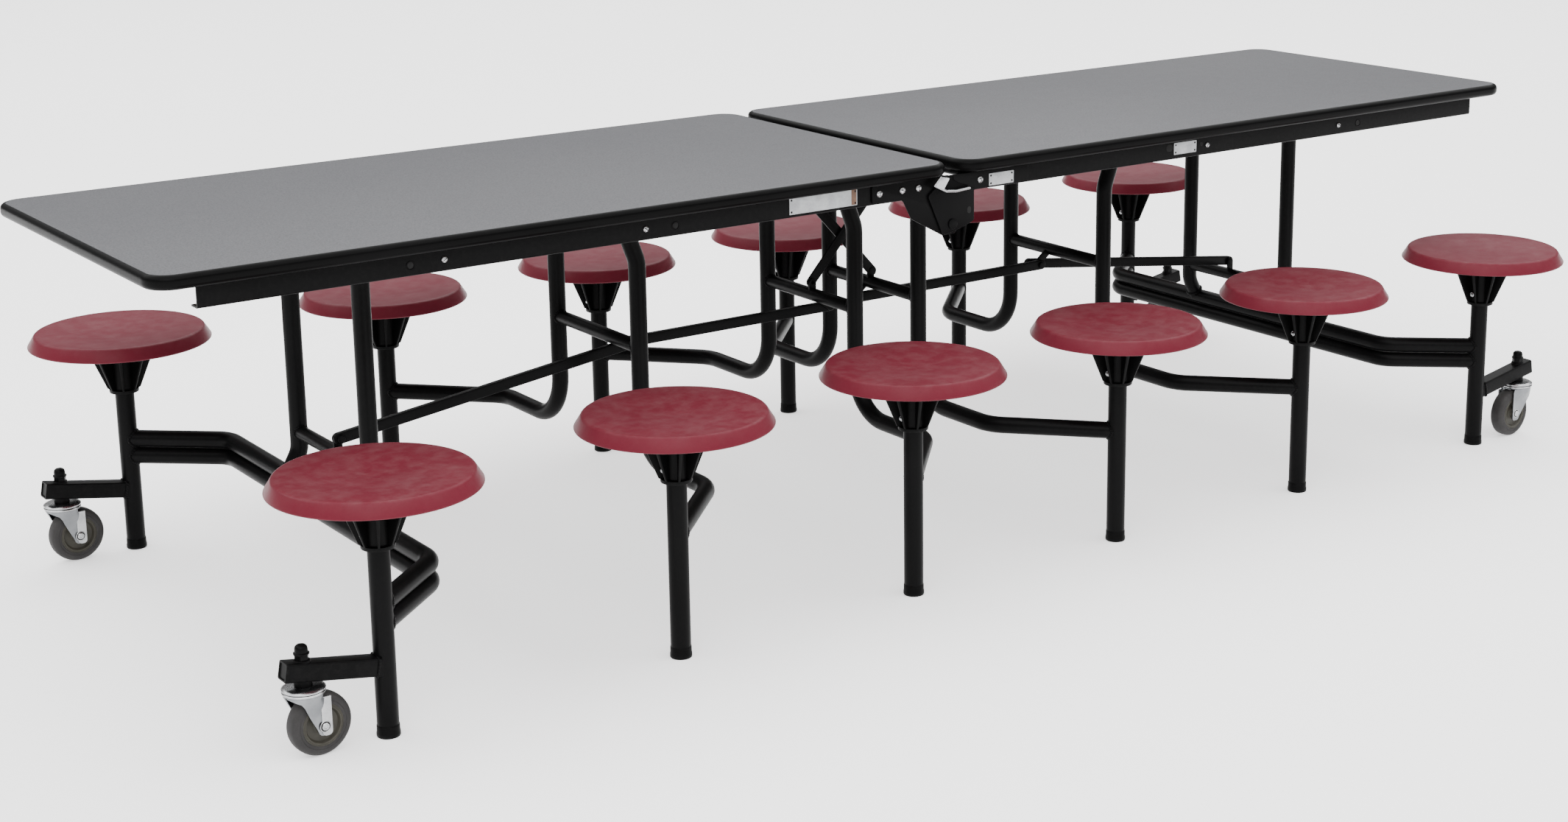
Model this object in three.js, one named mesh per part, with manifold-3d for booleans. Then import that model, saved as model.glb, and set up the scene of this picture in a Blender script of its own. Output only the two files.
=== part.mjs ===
// A folding cafeteria table on four casters, with twelve round stools on its leg frames.
// Millimetres, +Z up. The origin is on the floor under the middle of the closed top.
// X runs along the table, and the near side is -Y.
import * as THREE from 'three';
import { mergeVertices } from 'three/addons/utils/BufferGeometryUtils.js';
import Module from 'manifold-3d';

const wasm = await Module();
wasm.setup();

// Whole table
const tableLength = 3073;
const tableWidth = 762;
const topHeight = 738;
const splitGap = 26;
const fitGap = 0.3;
const cutOverrun = 2;
const weldTolerance = 0.001;

// Top slab: a laminate panel inside a rounded moulded edge
const slabThickness = 24;
const slabCornerRadius = 45;
const edgeBandWidth = 9;
const edgeRound = 7;
const cornerSteps = 4;
const edgeRoundSteps = 2;

// Side rails under the slab
const railSetIn = 31;
const railDepth = 25;
const railHeight = 40;
const railWall = 3;
const railEndSetback = 80;
const railSplitSetback = 6;

// Pivots between the top halves and the upright leg frames
const pivotDrop = 46;
const endPivotSetIn = 436.5;
const midPivotSetIn = 7.5;
const innerPivotX = 115;
const pivotRodRadius = 6;
const sleeveRadius = 15;
const sleeveClearance = 0.5;
const sleeveEndClearance = 5;

// Centre hinge: its axis lies below the frame pivots, so the folded halves stand apart
const hingeDrop = 74;
const hingePinRadius = 6;
const hingePlateThickness = 4;
const hingePlateEye = 20;
const hingePinHead = 10;
const hingePinHeadDepth = 3;
const hingePlateReach = 182;
const hingePlateMargin = 3;
const hingeInnerLobe = 92;
const hingeOuterCut = 14;
const hingeOuterNose = 57;
const hingeOuterToe = 22;
const hingeOuterEdge = 52;
const hingePadInset = 62;
const crossTubeRadius = 12;
const crossTubeX = 52;
const crossTubeDrop = 14;

// Leg frames
const legRadius = 16;
const legSpread = 302;
const legSetIn = 38;
const legTopBendDrop = 104;
const legTopBendRadius = 60;
const legFootBendRadius = 90;
const armHeight = 218;
const armBendRadius = 70;
const armBendSetIn = 180;
const tubeSides = 10;
const bendStepAngle = Math.PI / 7;
const crossbarRadius = 12.7;
const crossbarHeight = 428;
const endCrossbarHeight = 296;

// End frames stand on a pair of stacked tubes
const endTubeOut = 24;
const endTubeBendSetIn = 130;
const endTubeRadius = 16;
const endTubeBendRadius = 55;
const endTubeDrop = 33;
const endLegBendRise = 44;
const endLegBendRadius = 50;

// Stools
const stoolRowOut = 174;
const endStoolOut = 175;
const midStoolOut = 137;
const innerStoolOut = 128;
const seatRadius = 167;
const seatHeight = 432;
const seatDepth = 31;
const seatDish = 7;
const seatRimWidth = 18;
const seatPlateRise = 14;
const seatLipRise = 7;
const seatLipInset = 6;
const seatLipRound = 3;
const seatShoulderInset = 8;
const seatShoulderDrop = 4;
const seatSegments = 24;
const postRadius = 17.5;
const postSides = 14;
const hubTopRadius = 64;
const hubFootRadius = 27;
const hubHeight = 90;
const hubCollarHeight = 6;
const hubCollarFlare = 3;
const footRadius = 19;
const footHeight = 9;
const footBevel = 1.5;

// Link bars that keep neighbouring leg frames upright
const linkHeight = 20;
const linkWidth = 12;
const linkPinRadius = 4;
const linkPinClearance = 0.5;
const linkEndReach = 13;
const linkEarY = 20;
const linkEarThickness = 4;
const linkSideGap = 1;
const linkPinDrop = 28;
const linkPinHead = 7;
const linkPinHeadDepth = 3;
const linkSlotPlay = 2.5;
const earWidth = 16;

// Crossed straps between the inner frames
const strapWidth = 20;
const strapThickness = 4;
const strapY = 3;
const strapTopX = 84;
const strapTopDrop = 63;
const strapEarGap = 0.7;
const strapEarRise = 24;
const strapPinEnd = 0.5;

// Casters at the end stools
const casterReach = 135;
const casterArmSize = 30;
const casterArmOverhang = 32;
const casterArmHeight = 118;
const casterArmRise = THREE.MathUtils.degToRad(10);
const studRadius = 10;
const studHeight = 22;
const neckRadius = 14;
const wheelRadius = 51;
const wheelWidth = 30;
const wheelCoreRadius = 34;
const wheelSegments = 18;
const wheelTrail = 22;
const racewayRadius = 33;
const racewayTop = 118;
const racewayDepth = 12;
const forkThickness = 3;
const forkGap = 2.5;
const forkTopWidth = 44;
const forkFootWidth = 24;
const axleRadius = 5;
const axleHead = 9;
const axleClearance = 0.4;
const wheelShoulder = 5;
const wheelHubRadius = 12;
const wheelCoreDish = 5;
const casterTurn = THREE.MathUtils.degToRad(4);

// Fasteners on the rails, and the latch
const boltRadius = 8;
const boltHeight = 4;
const boltSides = 6;
const pivotBoltOffset = 60;
const hingeBoltXs = [160, 110, 74];
const latchPivotX = 40;
const latchDrop = 8;
const latchTabWidth = 12;
const latchTabLength = 22;
const latchTabRise = 26;
const latchThickness = 4;
const latchRodRadius = 4;
const latchRodBend = 6;

// Values worked out from the ones above
const halfLength = tableLength / 2;
const halfWidth = tableWidth / 2;
const railOuterY = halfWidth - railSetIn;
const stoolRows = halfWidth + stoolRowOut;
const armBendY = stoolRows - armBendSetIn;
const endTubeBendY = stoolRows - endTubeBendSetIn;
const pivotHeight = topHeight - pivotDrop;
const endPivotX = halfLength - endPivotSetIn;
const midPivotX = (endPivotX + innerPivotX) / 2 - midPivotSetIn;
const endTubeX = endPivotX + endTubeOut;
const endTubeLevels = [armHeight - endTubeDrop, armHeight];
const endStoolX = endPivotX + endStoolOut;
const midStoolX = midPivotX + midStoolOut;
const innerStoolX = innerPivotX + innerStoolOut;
const seatBottomHeight = seatHeight - seatDepth;
const strapTopHeight = pivotHeight - strapTopDrop;
const latchHeight = pivotHeight - latchDrop;
const slabBottom = topHeight - slabThickness;
const railTop = slabBottom - fitGap;
const railBottom = slabBottom - railHeight;
const railInnerY = railOuterY - railDepth;
const railMiddle = (railTop + railBottom) / 2;
const hingeHeight = pivotHeight - hingeDrop;
const legY = legSpread / 2;
const linkOffset = hingeDrop;
const linkPinHeight = crossbarHeight - linkPinDrop;
const endLinkPinHeight = linkPinHeight - linkOffset;
const innerPlateFace = railOuterY + hingePlateThickness;
const outerPlateFace = innerPlateFace + fitGap;
const midLinkX = midPivotX - linkOffset;
const innerLinkX = innerPivotX - linkOffset;

const black = new THREE.MeshStandardMaterial({ color: 0x1a1a1b, roughness: 0.42, metalness: 0.35 });
const edgeBlack = new THREE.MeshStandardMaterial({ color: 0x161617, roughness: 0.5, metalness: 0 });
const laminate = new THREE.MeshStandardMaterial({ color: 0x929297, roughness: 0.45, metalness: 0 });
const maroon = new THREE.MeshStandardMaterial({ color: 0x80323a, roughness: 0.4, metalness: 0 });
const hubBlack = new THREE.MeshStandardMaterial({ color: 0x121213, roughness: 0.5, metalness: 0 });
const zinc = new THREE.MeshStandardMaterial({ color: 0xc4c7c9, roughness: 0.3, metalness: 0.9 });
const tyreGrey = new THREE.MeshStandardMaterial({ color: 0x555456, roughness: 0.7, metalness: 0 });
const coreGrey = new THREE.MeshStandardMaterial({ color: 0x5d5950, roughness: 0.6, metalness: 0 });

const table = new THREE.Group();
const rightHalf = new THREE.Group();
rightHalf.rotation.z = Math.PI;
table.add(rightHalf);

// Closed solids, joined and cut

function signedVolume(positions, index) {
  const [a, b, c] = [new THREE.Vector3(), new THREE.Vector3(), new THREE.Vector3()];
  let volume = 0;
  for (let i = 0; i < index.length; i += 3) {
    a.fromBufferAttribute(positions, index[i]);
    b.fromBufferAttribute(positions, index[i + 1]);
    c.fromBufferAttribute(positions, index[i + 2]);
    volume += a.dot(b.cross(c)) / 6;
  }
  return volume;
}

function solidOf(geometry) {
  geometry.deleteAttribute('normal');
  geometry.deleteAttribute('uv');
  const welded = mergeVertices(geometry, weldTolerance);
  const positions = welded.attributes.position;
  const index = welded.index.array;
  const kept = [];
  for (let i = 0; i < index.length; i += 3) {
    const [a, b, c] = [index[i], index[i + 1], index[i + 2]];
    if (a !== b && b !== c && c !== a) kept.push(a, b, c);
  }
  if (signedVolume(positions, kept) < 0) kept.reverse();
  return new wasm.Manifold(new wasm.Mesh({
    numProp: 3,
    vertProperties: new Float32Array(positions.array),
    triVerts: new Uint32Array(kept),
  }));
}

function joined(solids) {
  return solids.reduce((whole, solid) => whole.add(solid));
}

function addPiece(parent, name, material, solids) {
  const mesh = joined(solids).getMesh();
  const geometry = new THREE.BufferGeometry();
  geometry.setAttribute('position', new THREE.BufferAttribute(mesh.vertProperties, mesh.numProp));
  geometry.setIndex(new THREE.BufferAttribute(mesh.triVerts, 1));
  geometry.computeVertexNormals();
  const piece = new THREE.Mesh(geometry, material);
  piece.name = name;
  parent.add(piece);
}

// Basic shapes

function boxBetween(lowX, highX, lowY, highY, lowZ, highZ) {
  const geometry = new THREE.BoxGeometry(highX - lowX, highY - lowY, highZ - lowZ);
  geometry.translate((lowX + highX) / 2, (lowY + highY) / 2, (lowZ + highZ) / 2);
  return solidOf(geometry);
}

function barAlongY(x, z, radius, lowY, highY, sides = tubeSides) {
  const geometry = new THREE.CylinderGeometry(radius, radius, highY - lowY, sides);
  geometry.translate(x, (lowY + highY) / 2, z);
  return solidOf(geometry);
}

function uprightBar(x, y, radius, lowZ, highZ, sides = postSides) {
  const geometry = new THREE.CylinderGeometry(radius, radius, highZ - lowZ, sides);
  geometry.rotateX(Math.PI / 2);
  geometry.translate(x, y, (lowZ + highZ) / 2);
  return solidOf(geometry);
}

// A turned shape about a vertical axis, from [radius, height] points
function turned(points, segments) {
  const profile = points.map(([radius, height]) => new THREE.Vector2(radius, height));
  const geometry = new THREE.LatheGeometry(profile, segments);
  geometry.rotateX(Math.PI / 2);
  return geometry;
}

// A flat plate in the XZ plane between two Y values, from a closed outline
function plateAlongY(outline, lowY, highY) {
  const shape = new THREE.Shape(outline);
  const geometry = new THREE.ExtrudeGeometry(shape, { depth: highY - lowY, bevelEnabled: false });
  geometry.rotateX(Math.PI / 2);
  geometry.translate(0, highY, 0);
  return solidOf(geometry);
}

function arcPoints(x, y, radius, fromAngle, toAngle, steps) {
  const points = [];
  for (let i = 0; i <= steps; i += 1) {
    const angle = fromAngle + (toAngle - fromAngle) * i / steps;
    points.push(new THREE.Vector2(x + radius * Math.cos(angle), y + radius * Math.sin(angle)));
  }
  return points;
}

function circleOutline(radius, sides) {
  return arcPoints(0, 0, radius, 0, 2 * Math.PI * (sides - 1) / sides, sides - 1);
}

function roundedRectangle(lowX, highX, lowY, highY, radius) {
  return new THREE.Shape([
    ...arcPoints(highX - radius, lowY + radius, radius, -Math.PI / 2, 0, cornerSteps),
    ...arcPoints(highX - radius, highY - radius, radius, 0, Math.PI / 2, cornerSteps),
    ...arcPoints(lowX + radius, highY - radius, radius, Math.PI / 2, Math.PI, cornerSteps),
    ...arcPoints(lowX + radius, lowY + radius, radius, Math.PI, 1.5 * Math.PI, cornerSteps),
  ]);
}

// A centre line with straight runs and round bends, which takes one step on each straight run
class BentLine extends THREE.Curve {
  constructor(corners, bendRadii) {
    super();
    this.stations = [];
    this.headings = [];
    this.addStation(corners[0], corners[1].clone().sub(corners[0]).normalize());
    for (let i = 1; i < corners.length - 1; i += 1) {
      this.addBend(corners[i - 1], corners[i], corners[i + 1], bendRadii[i - 1]);
    }
    const last = corners.length - 1;
    this.addStation(corners[last], corners[last].clone().sub(corners[last - 1]).normalize());
  }

  get steps() {
    return this.stations.length - 1;
  }

  addStation(point, heading) {
    this.stations.push(point);
    this.headings.push(heading);
  }

  addBend(before, corner, after, radius) {
    const heading = corner.clone().sub(before).normalize();
    const nextHeading = after.clone().sub(corner).normalize();
    const turn = heading.angleTo(nextHeading);
    const start = corner.clone().addScaledVector(heading, -radius * Math.tan(turn / 2));
    const inward = nextHeading.clone().addScaledVector(heading, -Math.cos(turn)).normalize();
    const steps = Math.ceil(turn / bendStepAngle);
    for (let i = 0; i <= steps; i += 1) {
      const angle = turn * i / steps;
      const point = start.clone()
        .addScaledVector(heading, radius * Math.sin(angle))
        .addScaledVector(inward, radius * (1 - Math.cos(angle)));
      const tangent = heading.clone().multiplyScalar(Math.cos(angle));
      this.addStation(point, tangent.addScaledVector(inward, Math.sin(angle)));
    }
  }

  getPointAt(share) {
    return this.stations[Math.round(share * this.steps)].clone();
  }

  getTangentAt(share) {
    return this.headings[Math.round(share * this.steps)].clone();
  }
}

function bentTube(corners, bendRadii, radius) {
  const line = new BentLine(corners, bendRadii);
  const shape = new THREE.Shape(circleOutline(radius, tubeSides));
  return solidOf(new THREE.ExtrudeGeometry(shape, { steps: line.steps, extrudePath: line }));
}

// The top: laminate panels, moulded edges and side rails. Each half is built at -X.

function addTopHalf(parent, side) {
  const [outer, inner] = [-halfLength, -splitGap / 2];
  const innerRadius = slabCornerRadius - edgeBandWidth;
  const bandShape = roundedRectangle(outer + edgeRound, inner - edgeRound,
    -halfWidth + edgeRound, halfWidth - edgeRound, slabCornerRadius - edgeRound);
  const bandGeometry = new THREE.ExtrudeGeometry(bandShape, {
    depth: slabThickness - 2 * edgeRound,
    bevelThickness: edgeRound,
    bevelSize: edgeRound,
    bevelSegments: edgeRoundSteps,
  });
  bandGeometry.translate(0, 0, slabBottom + edgeRound);
  const windowShape = roundedRectangle(outer + edgeBandWidth, inner - edgeBandWidth,
    -halfWidth + edgeBandWidth, halfWidth - edgeBandWidth, innerRadius);
  const windowGeometry = new THREE.ExtrudeGeometry(windowShape, {
    depth: slabThickness + 2 * cutOverrun,
    bevelEnabled: false,
  });
  windowGeometry.translate(0, 0, slabBottom - cutOverrun);
  addPiece(parent, `${side}_top_edge`, edgeBlack, [solidOf(bandGeometry).subtract(solidOf(windowGeometry))]);

  const panelInset = edgeBandWidth + fitGap;
  const panelShape = roundedRectangle(outer + panelInset, inner - panelInset,
    -halfWidth + panelInset, halfWidth - panelInset, innerRadius - fitGap);
  const panelGeometry = new THREE.ExtrudeGeometry(panelShape, { depth: slabThickness, bevelEnabled: false });
  panelGeometry.translate(0, 0, slabBottom);
  addPiece(parent, `${side}_top_panel`, laminate, [solidOf(panelGeometry)]);
}

// A C-shaped channel along X with its back outwards
function railChannel(ySign) {
  const [outer, inner] = [ySign * railOuterY, ySign * railInnerY];
  const web = outer - ySign * railWall;
  const outline = [
    [outer, railBottom], [outer, railTop], [inner, railTop], [inner, railTop - railWall],
    [web, railTop - railWall], [web, railBottom + railWall], [inner, railBottom + railWall],
    [inner, railBottom],
  ].map(([y, z]) => new THREE.Vector2(y, z));
  const length = halfLength - railEndSetback - splitGap / 2 - railSplitSetback;
  const shape = new THREE.Shape(outline);
  const geometry = new THREE.ExtrudeGeometry(shape, { depth: length, bevelEnabled: false });
  const turnToX = new THREE.Matrix4().makeBasis(
    new THREE.Vector3(0, 1, 0), new THREE.Vector3(0, 0, 1), new THREE.Vector3(1, 0, 0));
  geometry.applyMatrix4(turnToX);
  geometry.translate(railEndSetback - halfLength, 0, 0);
  return solidOf(geometry);
}

function addRails(parent, side) {
  const webInnerY = railOuterY - railWall / 2;
  const rods = [endPivotX, midPivotX, innerPivotX].map(
    (x) => barAlongY(-x, pivotHeight, pivotRodRadius, -webInnerY, webInnerY, postSides));
  const crossTubeHeight = pivotHeight - crossTubeDrop;
  const crossTube = barAlongY(-crossTubeX, crossTubeHeight, crossTubeRadius, -railInnerY, railInnerY);
  const hangers = [-1, 1].map((ySign) => {
    const [nearY, farY] = [ySign * railInnerY, ySign * (railInnerY - railWall)];
    return boxBetween(-crossTubeX - crossTubeRadius, -crossTubeX + crossTubeRadius,
      Math.min(nearY, farY), Math.max(nearY, farY), crossTubeHeight, railTop - railWall / 2);
  });
  addPiece(parent, `${side}_rails`, black,
    [railChannel(-1), railChannel(1), ...rods, crossTube, ...hangers,
      ...railFittings(side, -1), ...railFittings(side, 1)]);
}

// Leg frames

function sleeveBore(x) {
  return barAlongY(x, pivotHeight, pivotRodRadius + sleeveClearance, -railInnerY, railInnerY, postSides);
}

function pivotSleeve(x) {
  const halfSleeve = railInnerY - railWall - sleeveEndClearance;
  return barAlongY(x, pivotHeight, sleeveRadius, -halfSleeve, halfSleeve, postSides);
}

// An ear plate on a crossbar, with a headed pin through it
function pinEar({ bar, pin, earY, pinY, hasHeads = true }) {
  const angle = new THREE.Vector2(pin[0] - bar[0], pin[1] - bar[1]).angle();
  const plate = plateAlongY([
    ...arcPoints(pin[0], pin[1], earWidth / 2, angle - Math.PI / 2, angle + Math.PI / 2, cornerSteps),
    ...arcPoints(bar[0], bar[1], earWidth / 2, angle + Math.PI / 2, angle + Math.PI * 1.5, cornerSteps),
  ], ...earY);
  const shank = barAlongY(pin[0], pin[1], linkPinRadius, ...pinY);
  if (!hasHeads) return joined([plate, shank]);
  const lowHead = barAlongY(pin[0], pin[1], linkPinHead, pinY[0] - linkPinHeadDepth, pinY[0] + fitGap);
  const highHead = barAlongY(pin[0], pin[1], linkPinHead, pinY[1] - fitGap, pinY[1] + linkPinHeadDepth);
  return joined([plate, shank, lowHead, highHead]);
}

const linkNear = linkEarY + linkEarThickness / 2 + linkSideGap;
const outerBarY = [-linkNear - linkWidth, -linkNear];
const innerBarY = [-linkEarY + linkEarThickness / 2 + linkSideGap,
  -linkEarY + linkEarThickness / 2 + linkSideGap + linkWidth];

// The three kinds of frame on each half, from the end of the table to the middle
const frameKinds = [
  {
    kind: 'end', pivotX: endPivotX, legX: endPivotX, stoolX: endStoolX, barHeight: endCrossbarHeight,
    pinX: endPivotX, pinHeight: endLinkPinHeight, pinY: [outerBarY[0] - linkSideGap, -linkEarY],
  },
  {
    kind: 'mid', pivotX: midPivotX, legX: midPivotX - legSetIn, stoolX: midStoolX, barHeight: crossbarHeight,
    pinX: midLinkX, pinHeight: linkPinHeight, pinY: [outerBarY[0] - linkSideGap, innerBarY[1] + linkSideGap],
  },
  {
    kind: 'inner', pivotX: innerPivotX, legX: innerPivotX - legSetIn, stoolX: innerStoolX,
    barHeight: crossbarHeight, pinX: innerLinkX, pinHeight: linkPinHeight,
    pinY: [-linkEarY, innerBarY[1] + linkSideGap],
  },
];

function stoolTubes({ pivotX, legX, stoolX }) {
  return [-1, 1].map((ySign) => bentTube([
    new THREE.Vector3(-pivotX, ySign * legY, pivotHeight),
    new THREE.Vector3(-legX, ySign * legY, pivotHeight - legTopBendDrop),
    new THREE.Vector3(-legX, ySign * legY, armHeight),
    new THREE.Vector3(-legX, ySign * armBendY, armHeight),
    new THREE.Vector3(-stoolX, ySign * stoolRows, armHeight),
  ], [legTopBendRadius, legFootBendRadius, armBendRadius], legRadius));
}

function stackedTubes({ stoolX }) {
  return endTubeLevels.map((level) => bentTube([
    new THREE.Vector3(-stoolX, -stoolRows, level),
    new THREE.Vector3(-endTubeX, -endTubeBendY, level),
    new THREE.Vector3(-endTubeX, endTubeBendY, level),
    new THREE.Vector3(-stoolX, stoolRows, level),
  ], [endTubeBendRadius, endTubeBendRadius], endTubeRadius));
}

function endLegs({ pivotX }) {
  return [-1, 1].map((ySign) => bentTube([
    new THREE.Vector3(-pivotX, ySign * legY, pivotHeight),
    new THREE.Vector3(-pivotX, ySign * legY, armHeight + endLegBendRise),
    new THREE.Vector3(-endTubeX, ySign * legY, armHeight),
  ], [endLegBendRadius], legRadius));
}

function casterArm(ySign) {
  const length = casterReach + casterArmOverhang;
  const geometry = new THREE.BoxGeometry(length, casterArmSize, casterArmSize);
  geometry.translate(-length / 2, 0, 0);
  geometry.rotateY(casterArmRise);
  geometry.translate(-endStoolX, ySign * stoolRows, casterArmHeight);
  const stemX = -endStoolX - casterReach;
  const armZ = casterArmHeight + casterReach * Math.tan(casterArmRise);
  const stud = uprightBar(stemX, ySign * stoolRows, studRadius, armZ, armZ + casterArmSize / 2 + studHeight);
  const neck = uprightBar(stemX, ySign * stoolRows, neckRadius, racewayTop + fitGap, armZ);
  return joined([solidOf(geometry), stud, neck]);
}

// Post with a flared glide at its foot
function stoolPost(x, ySign) {
  const foot = turned([[0, 0], [footRadius - footBevel, 0], [footRadius, footBevel], [footRadius, footHeight],
    [0, footHeight]], postSides);
  foot.translate(x, ySign * stoolRows, 0);
  const postTop = seatBottomHeight - fitGap;
  return solidOf(foot).add(uprightBar(x, ySign * stoolRows, postRadius, footHeight / 2, postTop));
}

// One welded frame: legs, crossbar, pivot sleeve, stool tubes, posts and, at the ends, caster arms
function addFrame(parent, side, frame) {
  const isEnd = frame.kind === 'end';
  const tubes = isEnd ? [...endLegs(frame), ...stackedTubes(frame)] : stoolTubes(frame);
  const posts = [-1, 1].map((ySign) => stoolPost(-frame.stoolX, ySign));
  const arms = isEnd ? [-1, 1].map(casterArm) : [];
  const crossbar = barAlongY(-frame.legX, frame.barHeight, crossbarRadius, -legY, legY);
  const bar = [-frame.legX, frame.barHeight];
  const earY = [-linkEarY - linkEarThickness / 2, -linkEarY + linkEarThickness / 2];
  const ears = [pinEar({ bar, pin: [-frame.pinX, frame.pinHeight], earY, pinY: frame.pinY })];
  if (frame.kind === 'inner') {
    const strapFace = -strapY - strapThickness / 2 - strapEarGap;
    ears.push(pinEar({
      bar,
      pin: [bar[0], bar[1] + strapEarRise],
      earY: [strapFace - linkEarThickness, strapFace],
      pinY: [strapFace - linkEarThickness, -strapPinEnd],
      hasHeads: false,
    }));
  }
  const welded = joined([...tubes, ...posts, ...arms, crossbar, ...ears, pivotSleeve(-frame.pivotX)]);
  addPiece(parent, `${side}_${frame.kind}_frame`, black, [welded.subtract(sleeveBore(-frame.pivotX))]);

  for (const ySign of [-1, 1]) {
    const name = `${side}_${frame.kind}_${rowName(side, ySign)}`;
    for (const [part, material, makeOne] of [['seat', maroon, seatShape], ['hub', hubBlack, hubShape]]) {
      const geometry = makeOne();
      geometry.translate(-frame.stoolX, ySign * stoolRows, 0);
      addPiece(parent, `${name}_${part}`, material, [solidOf(geometry)]);
    }
  }
}

// The right half is the left one turned half a turn, so its near row is the left one's far row
function rowName(side, ySign) {
  const isNear = side === 'left' ? ySign < 0 : ySign > 0;
  return isNear ? 'near' : 'far';
}

// A dished round seat with a deep rolled rim, flat where it sits on its hub
function seatShape() {
  const underside = seatBottomHeight + seatPlateRise;
  const skirtBottom = seatBottomHeight + seatLipRise;
  return turned([
    [0, seatBottomHeight],
    [hubTopRadius, seatBottomHeight],
    [hubTopRadius + seatPlateRise, underside],
    [seatRadius - seatRimWidth, underside],
    [seatRadius - seatLipInset, skirtBottom],
    [seatRadius, skirtBottom + seatLipRound],
    [seatRadius - seatShoulderInset, seatHeight - seatShoulderDrop],
    [seatRadius - seatRimWidth, seatHeight],
    [0, seatHeight - seatDish],
  ], seatSegments);
}

function hubShape() {
  const top = seatBottomHeight - fitGap;
  const bore = postRadius + fitGap;
  const foot = top - hubHeight;
  return turned([
    [bore, foot], [hubFootRadius, foot], [hubFootRadius + hubCollarFlare, foot + hubCollarHeight],
    [hubTopRadius, top], [bore, top], [bore, foot],
  ], postSides);
}

// Link bars and straps

// A flat bar with rounded ends and a pin hole at each end; the far hole can be a slot
function pinnedBar({ from, to, lowY, highY, height, reach, slotLength = 0, slotRadius = 0 }) {
  const run = new THREE.Vector2(to[0] - from[0], to[1] - from[1]);
  const angle = run.angle();
  const [dirX, dirZ] = [Math.cos(angle), Math.sin(angle)];
  const beyond = slotLength + reach - height / 2;
  const outline = [
    ...arcPoints(from[0] - (reach - height / 2) * dirX, from[1] - (reach - height / 2) * dirZ, height / 2,
      angle + Math.PI / 2, angle + 1.5 * Math.PI, cornerSteps),
    ...arcPoints(to[0] + beyond * dirX, to[1] + beyond * dirZ, height / 2,
      angle - Math.PI / 2, angle + Math.PI / 2, cornerSteps),
  ];
  const bar = plateAlongY(outline, lowY, highY);
  const hole = linkPinRadius + linkPinClearance;
  const cuts = [barAlongY(from[0], from[1], hole, lowY - cutOverrun, highY + cutOverrun)];
  if (slotLength > 0) {
    cuts.push(plateAlongY([
      ...arcPoints(to[0], to[1], slotRadius, angle + Math.PI / 2, angle + 1.5 * Math.PI, cornerSteps),
      ...arcPoints(to[0] + slotLength * dirX, to[1] + slotLength * dirZ, slotRadius,
        angle - Math.PI / 2, angle + Math.PI / 2, cornerSteps),
    ], lowY - cutOverrun, highY + cutOverrun));
  } else {
    cuts.push(barAlongY(to[0], to[1], hole, lowY - cutOverrun, highY + cutOverrun));
  }
  return bar.subtract(joined(cuts));
}

function addLinks(parent, side) {
  // Half way through the fold the two pins of the outer link lie this much further apart
  const span = endPivotX - midPivotX;
  const restLength = Math.hypot(span + linkOffset, linkOffset);
  const middleLength = Math.SQRT2 * (span * Math.SQRT1_2 + linkOffset);
  const [endPin, midPin] = [[-endPivotX, endLinkPinHeight], [-midLinkX, linkPinHeight]];
  const innerPin = [-innerLinkX, linkPinHeight];
  addPiece(parent, `${side}_outer_link`, black, [pinnedBar({
    from: endPin,
    to: midPin,
    lowY: outerBarY[0],
    highY: outerBarY[1],
    height: linkHeight,
    reach: linkEndReach,
    slotLength: middleLength - restLength + linkPinClearance,
    slotRadius: linkPinRadius + linkSlotPlay,
  })]);
  addPiece(parent, `${side}_inner_link`, black, [pinnedBar({
    from: midPin,
    to: innerPin,
    lowY: innerBarY[0],
    highY: innerBarY[1],
    height: linkHeight,
    reach: linkEndReach,
  })]);
  addPiece(parent, `${side}_cross_strap`, black, [pinnedBar({
    from: [legSetIn - innerPivotX, crossbarHeight + strapEarRise],
    to: [strapTopX, strapTopHeight],
    lowY: -strapY - strapThickness / 2,
    highY: -strapY + strapThickness / 2,
    height: strapWidth,
    reach: strapWidth / 2,
  })]);
}

// Centre hinge plates on the rails, which pivot on pins below the slab

const plateLow = railBottom + hingePlateMargin;
const plateHigh = railTop - hingePlateMargin;

function leftPlateOutline() {
  return [
    [-hingePlateReach, plateLow], [-hingePlateReach, plateHigh], [-hingePlateMargin, plateHigh],
    [hingePlateEye, hingeHeight + hingePlateEye], [hingePlateEye, hingeHeight],
    [hingePlateEye / 2, hingeHeight - hingePlateEye], [-hingePlateEye, hingeHeight - hingePlateEye],
    [-hingeInnerLobe, hingeHeight + hingePlateEye], [-hingeInnerLobe - hingePlateEye, plateLow],
  ];
}

// The corner under the slab is cut, so the plate swings clear of the other half
function rightPlateOutline() {
  return [
    [-hingePlateReach, plateLow], [-hingePlateReach, plateHigh], [hingeOuterCut, plateHigh],
    [hingeOuterNose, plateLow], [hingeOuterToe, hingeHeight - hingePlateEye],
    [-hingeOuterToe, hingeHeight - hingePlateEye / 2], [-hingeOuterEdge, hingeHeight],
    [-hingeOuterEdge, plateLow],
  ];
}

function plateFrom(outline, yRange) {
  return plateAlongY(outline.reverse().map(([x, z]) => new THREE.Vector2(x, z)), ...yRange);
}

function between(ySign, from, to) {
  return [Math.min(ySign * from, ySign * to), Math.max(ySign * from, ySign * to)];
}

// The left plates carry the hinge pins; the right ones lie outside them on a pad
function leftHingePlate(ySign) {
  const pinEnd = outerPlateFace + hingePlateThickness + fitGap;
  const plate = plateFrom(leftPlateOutline(), between(ySign, railOuterY - fitGap, innerPlateFace));
  const pin = barAlongY(0, hingeHeight, hingePinRadius, ...between(ySign, railOuterY, pinEnd + fitGap));
  const head = barAlongY(0, hingeHeight, hingePinHead, ...between(ySign, pinEnd, pinEnd + hingePinHeadDepth));
  return joined([plate, pin, head]);
}

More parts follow.
